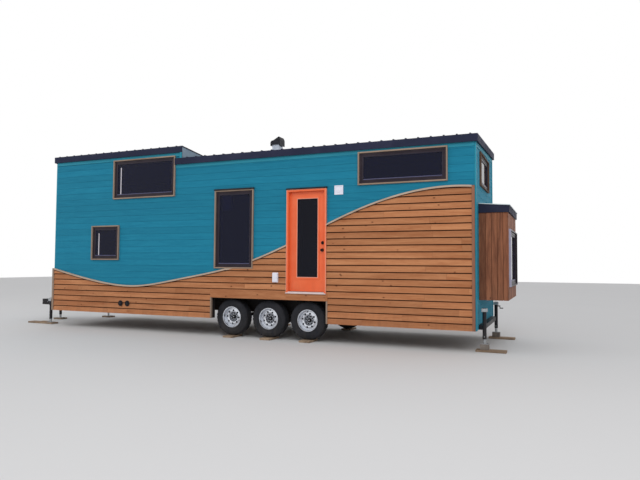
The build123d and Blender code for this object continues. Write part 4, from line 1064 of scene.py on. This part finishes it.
# Profiles are (depth, radius) pairs, and depth grows from the outer face inwards
tyreProfile = (
    (-.086, .2135), (-.098, .214), (-.1065, .222), (-.1075, .233), (-.1035, .2345), (-.108, .243), (-.1125, .262),
    (-.1148, .286), (-.1155, .296), (-.117, .298), (-.117, .303), (-.1158, .305), (-.1148, .328), (-.1105, .348),
    (-.1085, .351), (-.104, .366), (-.1, .3735), (-.093, .379), (-.076, .3815), (-.062, .382), (-.06, .374),
    (-.054, .374), (-.052, .382), (-.025, .382), (-.023, .374), (-.017, .374), (-.015, .382), (0, .382))
rimProfile = (
    (-.0915, .2135), (-.109, .22), (-.1105, .216), (-.11, .208), (-.099, .202), (-.09, .1995), (-.07, .195),
    (-.052, .19), (-.044, .184), (-.042, .176), (-.045, .164), (-.052, .149), (-.0545, .136), (-.0535, .122),
    (-.048, .109), (-.038, .1), (-.02, .0945), (-.002, .0915), (.003, .088), (.004, .08), (.004, 0))
barrelProfile = ((-.0915, .2125), (-.085, .2), (.085, .2), (.093, .2125), (.108, .219), (.1095, .215), (.108, .205),
                 (.096, .196), (-.054, .196), (-.06, .188))
hubProfiles = (
    ((.004, .046), (-.022, .044), (-.03, .04), (-.0335, .034), (-.0335, 0)),
    ((.012, 0), (.012, .158), (.016, .165), (.085, .167), (.085, 0)),
    ((.0045, .0872), (.003, .0868), (.003, .059), (.0045, .0585)))
bossProfile = ((.004, .06), (-.002, .059), (-.004, .056), (-.004, .048), (.004, .047))
# Tubes by start, end, radius, sides and bevel. A nut's start and end are heights over its seat
plugTube = ((0, -.033, 0), (0, -.0365, 0), .014, 24, .001)
valveTube = ((.178, -.042, 0), (.17, -.076, 0), .0055, 12, .001)
nutTubes = ((0, .004, .0125, 20, 0), (.003, .02, .0105, 6, .0015), (.019, .025, .0068, 12, .001))


def turned(name, points):
    # Spin a profile about the axle
    clearSelection()
    bpy.ops.mesh.primitive_plane_add(size=1)
    shell = bpy.context.object
    shell.name = name
    editAll()
    bpy.ops.mesh.merge(type="CENTER")
    leaveEdit()
    shell.data.vertices[0].co = (0, *points[0])
    editAll()
    bpy.ops.mesh.select_mode(type="VERT")
    for (y0, r0), (y1, r1) in zip(points, points[1:]):
        bpy.ops.mesh.extrude_region_move(TRANSFORM_OT_translate={"value": (0, y1 - y0, r1 - r0)})
    bpy.ops.mesh.select_all(action="SELECT")
    bpy.ops.mesh.spin(steps=wheel["steps"], angle=math.radians(360), center=(0, 0, 0), axis=(0, 1, 0))
    bpy.ops.mesh.select_all(action="SELECT")
    bpy.ops.mesh.remove_doubles(threshold=shaping["spinMerge"])
    bpy.ops.mesh.normals_make_consistent(inside=False)
    leaveEdit()
    return shell


def isGroove(centre):
    # Every third sector of the shoulders is sunk, so lugs stand between
    angle = math.degrees(math.atan2(centre.z, centre.x)) % 360
    index = int(angle / (360 / wheel["steps"]) + (0 if centre.y < 0 else 1))
    onShoulder = abs(centre.y) > wheel["shoulder"] and math.hypot(centre.x, centre.z) > wheel["shoulderRadius"]
    return index % wheel["lugEvery"] == 0 and onShoulder


def roundAxle(number, radius, shift=0.0):
    angles = [math.radians(360 / number * (index + shift)) for index in range(number)]
    return [(radius * math.cos(angle), radius * math.sin(angle)) for angle in angles]


tyrePoints = list(tyreProfile) + [(-y, r) for y, r in reversed(tyreProfile[:-1])]
tyre = turned("tyre", tyrePoints + [(0, wheel["bead"]), tyrePoints[0]])
pick(tyre)
bpy.ops.object.mode_set(mode="EDIT")
bpy.ops.mesh.select_all(action="DESELECT")
bpy.ops.mesh.select_mode(type="FACE")
leaveEdit()
for polygon in tyre.data.polygons:
    polygon.select = isGroove(polygon.center)
bpy.ops.object.mode_set(mode="EDIT")
bpy.ops.mesh.extrude_region_shrink_fatten(TRANSFORM_OT_shrink_fatten={"value": -wheel["lugDepth"]})
leaveEdit()
smooth(tyre)

rimShell = applyModifier(turned("rim", rimProfile), "SOLIDIFY", thickness=wheel["shell"], offset=-1)
holeOuter, holeInner = wheel["holeEnds"]
cutters = [addTube("cutter", (x, holeOuter, z), (x, holeInner, z), wheel["holeRadius"], sides=20)
           for x, z in roundAxle(wheel["holes"], wheel["holeRing"], wheel["holeShift"])]
cutWith(rimShell, join("cutter", cutters), "DIFFERENCE")
rim = smooth(join("rim", [rimShell, turned("barrel", barrelProfile)]))
# The hub is black, partly its own paint and partly painted shade that darkens the rim's recess
hub = join("hub", [smooth(turned("hub", points)) for points in hubProfiles] + [addTube("valve", *valveTube)])
nuts = [smooth(turned("boss", bossProfile)), addTube("plug", *plugTube)]
seat = wheel["nutSeat"]
for x, z in roundAxle(wheel["nuts"], wheel["nutRing"]):
    nuts += [addTube("nut", (x, seat - start, z), (x, seat - end, z), *sizes) for start, end, *sizes in nutTubes]
nuts = join("nuts", nuts)

wheelLooks = (("tyre_detail", tyre, "tyre_rubber", "tyreRubber", "tyre"),
              ("rim_detail", rim, "rim_silver", "rimSilver", "rim"),
              ("hub_cap", hub, "rim_silver", "hubBlack"), ("wheel_nuts", nuts, "rim_silver", "boltZinc"))
for side, turn in (("near", 0), ("far", 180)):
    for number in (1, 2, 3):
        tag = "_%s_%d" % (side, number)
        place = (Matrix.Translation(middleOf(*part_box("tyre" + tag))) @ Matrix.Rotation(math.radians(turn), 4, "Z")
                 @ Matrix.Rotation(math.radians(draw.uniform(0, 360)), 4, "Y"))
        for label, piece, slot, look, *nodes in wheelLooks:
            made = twin(piece, label + tag)
            made.matrix_world = place
            finish(label + tag, [bakePlace(made)], slot, look, *[node + tag for node in nodes], body="wheel" + tag)
for piece in (tyre, rim, hub, nuts):
    bpy.data.objects.remove(piece)
print("wheels done")

# Drip caps: folded black sheet with a deep lip, wider than the opening below
dripStyle = {"lip": 0.027, "bevel": 0.0015, "corner": 0.001, "hem": 0.003, "hemDeep": 0.004, "hemTop": 0.002,
             "hemBevel": 0.001}
caps = []
for low, high in solidBoxes("drip_caps"):
    block = addBlock("cap", low, high)
    for vertex in block.data.vertices:
        if vertex.co.z > low.z + dripStyle["corner"] and vertex.co.y < low.y + dripStyle["corner"]:
            vertex.co.z = low.z + dripStyle["lip"]
    caps.append(soften(block, dripStyle["bevel"]))
    caps.append(addBlock("hem", (low.x, low.y, low.z - dripStyle["hem"]),
                         (high.x, low.y + dripStyle["hemDeep"], low.z + dripStyle["hemTop"]), dripStyle["hemBevel"]))
finish("drip_cap_sheets", caps, "drip_black", "dripBlack", "drip_caps")

# Sill: a pale nosing the full width of the frame, in front of its foot
sill = {"out": 0.0215, "back": 0.002, "side": 0.004, "foot": 0.007, "top": 0.013, "bevel": 0.003}
nosing = addBlock("nosing", (doorLow.x - sill["side"], doorLow.y - sill["out"], doorLow.z - sill["foot"]),
                  (doorHigh.x + sill["side"], doorLow.y + sill["back"], doorLow.z + sill["top"]), sill["bevel"])
finish("sill_nosing", [nosing], "sill_aluminium", "sillPale")

# Round wall vents: turned rings with two ribs that cross inside them
ventStyle = {"depth": 0.024, "ribReach": 0.046, "ribHalf": 0.0018, "ribFront": 0.0065, "ribBack": 0.017,
             "ribBevel": 0.0006}
ventProfile = ((0, .066), (-.004, .066), (-.0058, .0645), (-.0062, .057), (-.019, .053), (-.0212, .0512),
               (-.0215, .047), (-.0195, .0452), (-.008, .044), (-.008, .037), (-.0185, .035), (-.0215, .032),
               (-.0232, .022), (-.0238, 0))
vents = []
for low, high in solidBoxes("side_vents"):
    x, _, z = middleOf(low, high)
    vent = turned("vent", ventProfile)
    vent.location = (x, low.y + ventStyle["depth"], z)
    vents.append(smooth(bakePlace(vent)))
    reach, half = ventStyle["ribReach"], ventStyle["ribHalf"]
    for wide, tall in ((reach, half), (half, reach)):
        vents.append(addBlock("rib", (x - wide, low.y + ventStyle["ribFront"], z - tall),
                              (x + wide, low.y + ventStyle["ribBack"], z + tall), ventStyle["ribBevel"]))
finish("vent_rings", vents, "vent_black", "ventBlack", "side_vents")

# Outlet cover: a base and a rounded lid, with a latch below and two hinges above
outlet = {"half": 0.064, "base": 0.012, "baseBevel": 0.003, "inset": 0.008, "lidDrop": 0.006, "lidSink": 0.001,
          "lidBevel": 0.008, "latchHalf": 0.014, "latchSink": 0.012, "latchFoot": 0.002, "latchHead": 0.012,
          "latchBevel": 0.002, "hingeIn": 0.030, "hingeDrop": 0.010, "hingeOut": 0.006, "hingeHalf": 0.012,
          "hingeRadius": 0.0055, "hingeBevel": 0.001}
low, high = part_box("outlet_cover")
middle, half, inset = middleOf(low, high).x, outlet["half"], outlet["inset"]
out, back = wallNear - low.y, wallNear - high.y
front = back + outlet["base"]
cover = [
    blockOn("base", "door", (middle - half, middle + half), (back, front), (low.z, high.z), outlet["baseBevel"]),
    blockOn("lid", "door", (middle - half + inset, middle + half - inset), (front - outlet["lidSink"], out),
            (low.z + inset, high.z - inset - outlet["lidDrop"]), outlet["lidBevel"]),
    blockOn("latch", "door", (middle - outlet["latchHalf"], middle + outlet["latchHalf"]),
            (front, out - outlet["latchSink"]), (low.z + outlet["latchFoot"], low.z + outlet["latchHead"]),
            outlet["latchBevel"])]
y, z = high.y - outlet["base"] - outlet["hingeOut"], high.z - outlet["hingeDrop"]
for side in (-1, 1):
    x = middle + side * (half - outlet["hingeIn"])
    cover.append(addTube("hinge", (x - outlet["hingeHalf"], y, z), (x + outlet["hingeHalf"], y, z),
                         outlet["hingeRadius"], sides=14, bevel=outlet["hingeBevel"]))
finish("outlet_lid", cover, "white_plastic", "whitePlastic", "outlet_cover")

# Light block: a raised rim round a sunk panel with a round cover and two screws
lamp = {"lip": 0.018, "edge": 0.003, "sink": 0.005, "depth": 0.021, "lap": 0.001, "panelBack": 0.002,
        "coverBack": 0.006, "coverFront": 0.001, "coverRadius": 0.052, "coverBevel": 0.0015, "screwShift": 0.036,
        "screwBack": 0.002, "screwFront": 0.0005, "screw": 0.0045, "screwBevel": 0.0006}
low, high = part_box("light_block")
out, edge, inner = wallNear - low.y, lamp["edge"], lamp["lip"] - lamp["lap"]
x, _, z = middleOf(low, high)
lampParts = [
    ringOn("rim", "door", (low, high), out - edge, ((edge, edge), (lamp["lip"] - edge, 0), (edge, -lamp["sink"])),
           lamp["depth"]),
    blockOn("panel", "door", (low.x + inner, high.x - inner), (lamp["panelBack"], out - lamp["sink"]),
            (low.z + inner, high.z - inner)),
    addTube("cover", (x, low.y + lamp["coverBack"], z), (x, low.y + lamp["coverFront"], z), lamp["coverRadius"],
            sides=40, bevel=lamp["coverBevel"])]
for place in (x - lamp["screwShift"], x + lamp["screwShift"]):
    lampParts.append(addTube("screw", (place, low.y + lamp["screwBack"], z), (place, low.y - lamp["screwFront"], z),
                             lamp["screw"], sides=12, bevel=lamp["screwBevel"]))
finish("lamp_plate", lampParts, "white_plastic", "whitePlastic", "light_block")

# Door lock: round plates behind the knob and the bolt, on both faces of the leaf
lock = {"plate": 0.033, "thick": 0.006, "sink": 0.001, "bevel": 0.002, "fromHinge": 0.3}
plates = []
for low, high in solidBoxes("door_hardware"):
    if low.x > leafLow.x + lock["fromHinge"]:
        x, _, z = middleOf(low, high)
        for face, out in ((leafLow.y, -1), (leafHigh.y, 1)):
            plates.append(addTube("plate", (x, face - out * lock["sink"], z), (x, face + out * lock["thick"], z),
                                  lock["plate"], sides=32, bevel=lock["bevel"]))
finish("lock_plates", plates, "door_hardware", "lockBlack", body="door")
print("fittings done")

# Roof step: a dark cap along its top, and slabs that close its two ends
stepStyle = {"capOver": 0.006, "capBack": 0.002, "capInset": 0.002, "capDrop": 0.024, "capThick": 0.003,
             "capBevel": 0.0015, "proud": 0.0025, "depth": 0.016, "bevel": 0.001, "gap": 0.002, "fascia": 0.140}
capLow = (stepLow.x - stepStyle["capBack"], stepLow.y + stepStyle["capInset"], stepHigh.z - stepStyle["capDrop"])
capHigh = (stepHigh.x + stepStyle["capOver"], stepHigh.y - stepStyle["capInset"], stepHigh.z + stepStyle["capThick"])
cap = addBlock("cap", capLow, capHigh, stepStyle["capBevel"])


def endSlab(start, foot, head, out):
    face = stepHigh.y if out > 0 else stepLow.y
    near, far = sorted((face + out * stepStyle["proud"], face - out * stepStyle["depth"]))
    return addBlock("slab", (start, near, foot), (stepHigh.x, far, head), stepStyle["bevel"])


loftSlope, mainSlope = roofs["loft"]["slope"], roofs["main"]["slope"]
loftFoot, mainFoot, gap = fasciaFoot("loft", -1), fasciaFoot("main", -1), stepStyle["gap"]
mainHead = mainFoot + stepStyle["fascia"]
tealEnd = endSlab(stepLow.x - gap, mainHead, loftFoot, -1)
darkEnds = [endSlab(loftTrimEnd + gap, mainFoot, mainHead, -1),
            endSlab(stepLow.x - gap, loftFoot, loftFoot + stepStyle["fascia"], -1),
            endSlab(stepLow.x, stepLow.z, stepHigh.z + loftSlope * (stepHigh.y - stepLow.y), 1)]
finish("step_fascia_ends", darkEnds, "fascia_paint", "fasciaSlate")
finish("step_teal_ends", [tealEnd], "teal_siding", "tealTrim")
finish("step_cap", [sloped(cap, loftSlope, stepLow.y)], "roof_steel", "roofSteel")

# A sheet apron lies on the roof round the vent's curb
sheetStyle = {"reach": 0.085, "thick": 0.003, "bevel": 0.001}
curbLow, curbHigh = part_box("vent_curb")
reach = Vector((sheetStyle["reach"], sheetStyle["reach"]))
mainTop = roofs["main"]["box"][1]
roofTop = mainTop.z - mainSlope * (mainTop.y - curbLow.y)
sheet = addBlock("sheet", (*(curbLow.xy - reach), roofTop), (*(curbHigh.xy + reach), roofTop + sheetStyle["thick"]),
                 sheetStyle["bevel"])
finish("vent_apron", [sloped(sheet, mainSlope, curbLow.y)], "vent_pale", "curbPale")

# Jacks: clamps, pin heads and cranks on the tubes, which stay clear of the sliding legs
jack = {"radius": 0.035, "slack": 0.01, "clampHalf": 0.050, "clampHeight": 0.062, "clampDrop": 0.004, "bevel": 0.004,
        "bore": 0.034, "boreBelow": 0.2, "boreAbove": 0.1, "pinLift": 0.045, "pinHead": 0.009, "pinSink": 0.002,
        "pinOut": 0.012, "pinBevel": 0.002, "crankDrop": 0.088, "shaft": 0.050, "shaftSink": 0.004, "lever": 0.050,
        "leverIn": 0.006, "leverOver": 0.2, "grip": 0.060, "gripIn": 0.012, "gripAt": 0.9, "rod": 0.0075,
        "shaftRod": 0.012, "gripRod": 0.0105, "rodBevel": 0.001, "gripBevel": 0.002}
jackLegs = ("front_near", "front_far", "tongue", "tail_near", "tail_far")
tubeBoxes = solidBoxes("jack_tubes")
down = Vector((0, 0, -jack["lever"]))
clamps, cranks = [], []
for leg in jackLegs:
    x, y, _ = middleOf(*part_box("jack_leg_" + leg))
    tubeLow, tubeHigh = next((low, high) for low, high in tubeBoxes
                             if low.x - jack["slack"] < x < high.x + jack["slack"]
                             and low.y - jack["slack"] < y < high.y + jack["slack"])
    top, half = tubeHigh.z - jack["clampDrop"], jack["clampHalf"]
    band = addBlock("clamp", (x - half, y - half, top - jack["clampHeight"]), (x + half, y + half, top), jack["bevel"])
    bore = addTube("cutter", (x, y, top - jack["boreBelow"]), (x, y, top + jack["boreAbove"]), jack["bore"], sides=32)
    clamps.append(cutWith(band, bore, "DIFFERENCE"))
    z = tubeLow.z + jack["pinLift"]
    pinIn, pinOut = jack["radius"] - jack["pinSink"], jack["radius"] + jack["pinOut"]
    for side in (-1, 1):
        clamps.append(addTube("pin", (x, y + side * pinIn, z), (x, y + side * pinOut, z), jack["pinHead"], sides=16,
                              bevel=jack["pinBevel"]))
    aim = Vector((0, 1, 0)) if leg.endswith("near") else Vector((1 if x > 0 else -1, 0, 0))
    axle = Vector((x, y, tubeHigh.z - jack["crankDrop"]))
    turn = axle + aim * (jack["radius"] + jack["shaft"])
    hinge, hold = turn - aim * jack["leverIn"], turn + down * jack["gripAt"]
    cranks += [
        addTube("shaft", axle + aim * (jack["radius"] - jack["shaftSink"]), turn, jack["shaftRod"], sides=16,
                bevel=jack["rodBevel"]),
        addTube("lever", hinge - down * jack["leverOver"], hinge + down, jack["rod"], sides=12, bevel=jack["rodBevel"]),
        addTube("grip", hold - aim * jack["gripIn"], hold + aim * jack["grip"], jack["gripRod"], sides=14,
                bevel=jack["gripBevel"])]
finish("jack_clamps", clamps, "jack_zinc", "zincTube")
finish("jack_cranks", cranks, "jack_zinc", "blackPowder")
print("jacks done")

# Blocks and boards on the ground, with worn edges. The tail's and the near front jack's boards are longer
footing = {"bevel": 0.005, "blockTrim": (-0.024, -0.024, 0), "blockBevel": 0.008, "extra": 0.230, "fromBay": 0.2,
           "beam": 0.540, "shimFrom": 0.300, "shimTo": 0.078, "shimHalf": 0.055, "shimRise": 0.020, "shimTone": 1.0}
planks = []
for low, high in solidBoxes("levelling_boards"):
    ahead = footing["extra"] if low.x > bayLow.x - footing["fromBay"] else 0
    behind = footing["beam"] if high.x < wallLeft and high.y < 0 else 0
    plank = addBlock("plank", (low.x - behind, low.y, low.z), (high.x + ahead, high.y, high.z), footing["bevel"])
    planks.append(toneOn(plank, draw.random()))
blocks = [addBlock("block", *grown(box, footing["blockTrim"]), footing["blockBevel"])
          for box in solidBoxes("jack_blocks")]
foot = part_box("jack_leg_front_near")
x, y, z = *middleOf(*foot).xy, foot[0].z
shim = addBlock("shim", (x - footing["shimFrom"], y - footing["shimHalf"], z),
                (x - footing["shimTo"], y + footing["shimHalf"], z + footing["shimRise"]), footing["bevel"])
planks.append(toneOn(shim, footing["shimTone"]))
finish("ground_planks", planks, "board_wood", "groundBoards", "levelling_boards")
finish("concrete_blocks", blocks, "block_concrete", "concrete", "jack_blocks")
print("footings done")

# Coupler: a latch with its lever on top, and bolts through the sides
coupler = {"long": 0.090, "half": 0.018, "tall": 0.020, "from": 0.150, "sink": 0.004, "bevel": 0.004,
           "leverAt": 0.7, "lever": (0.120, 0, 0.032), "rod": 0.007, "rodBevel": 0.001, "bolts": (0.060, 0.240),
           "boltRadius": 0.011, "boltSink": 0.003, "boltOut": 0.008, "boltBevel": 0.001}
low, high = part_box("coupler")
start, top = low.x + coupler["from"], high.z + coupler["tall"]
leverFoot = Vector((start + coupler["long"] * coupler["leverAt"], 0, top - coupler["sink"]))
fittings = [addBlock("latch", (start, -coupler["half"], high.z - coupler["sink"]),
                     (start + coupler["long"], coupler["half"], top), coupler["bevel"]),
            addTube("lever", leverFoot, leverFoot + Vector(coupler["lever"]), coupler["rod"], sides=12,
                    bevel=coupler["rodBevel"])]
boltIn, boltOut, z = high.y - coupler["boltSink"], high.y + coupler["boltOut"], middleOf(low, high).z
for x in [low.x + reach for reach in coupler["bolts"]]:
    for out in (-1, 1):
        fittings.append(addTube("bolt", (x, out * boltIn, z), (x, out * boltOut, z), coupler["boltRadius"], sides=6,
                                bevel=coupler["boltBevel"]))
finish("coupler_fittings", fittings, "jack_zinc", "zincTube")

# The CAD nodes that stay take their finishes here
dressed = {
    "lining": ("front_wall_left", "front_wall_right", "front_wall_over_door", "back_wall", "tail_end_wall",
               "tongue_end_wall"),
    "floorDeck": ("floor",), "roofSteel": ("main_roof", "loft_roof"), "cheekPanel": ("roof_step",),
    "fasciaSlate": ("fascia",), "wavePale": ("wave_trims",), "windowGlass": ("window_glass",),
    "doorOrange": ("door_frame", "door_leaf"), "doorGlass": ("door_glass",), "sillPale": ("door_sill",),
    "lockBlack": ("door_hardware", "hinge_pins"), "curbPale": ("vent_curb",), "ventBlack": ("vent_hood",),
    "bayInside": ("bay_walls",), "bayRoofSlate": ("bay_roof",), "paleSheet": ("bay_roof_sheet",),
    "chassisPaint": ("chassis", "tongue", "axles"), "blackPowder": ("coupler", "jack_tubes"),
    "zincTube": tuple("jack_leg_" + leg for leg in jackLegs),
}
for look, nodes in dressed.items():
    for node in nodes:
        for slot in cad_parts[node].material_slots:
            slot.material = finishes[look]
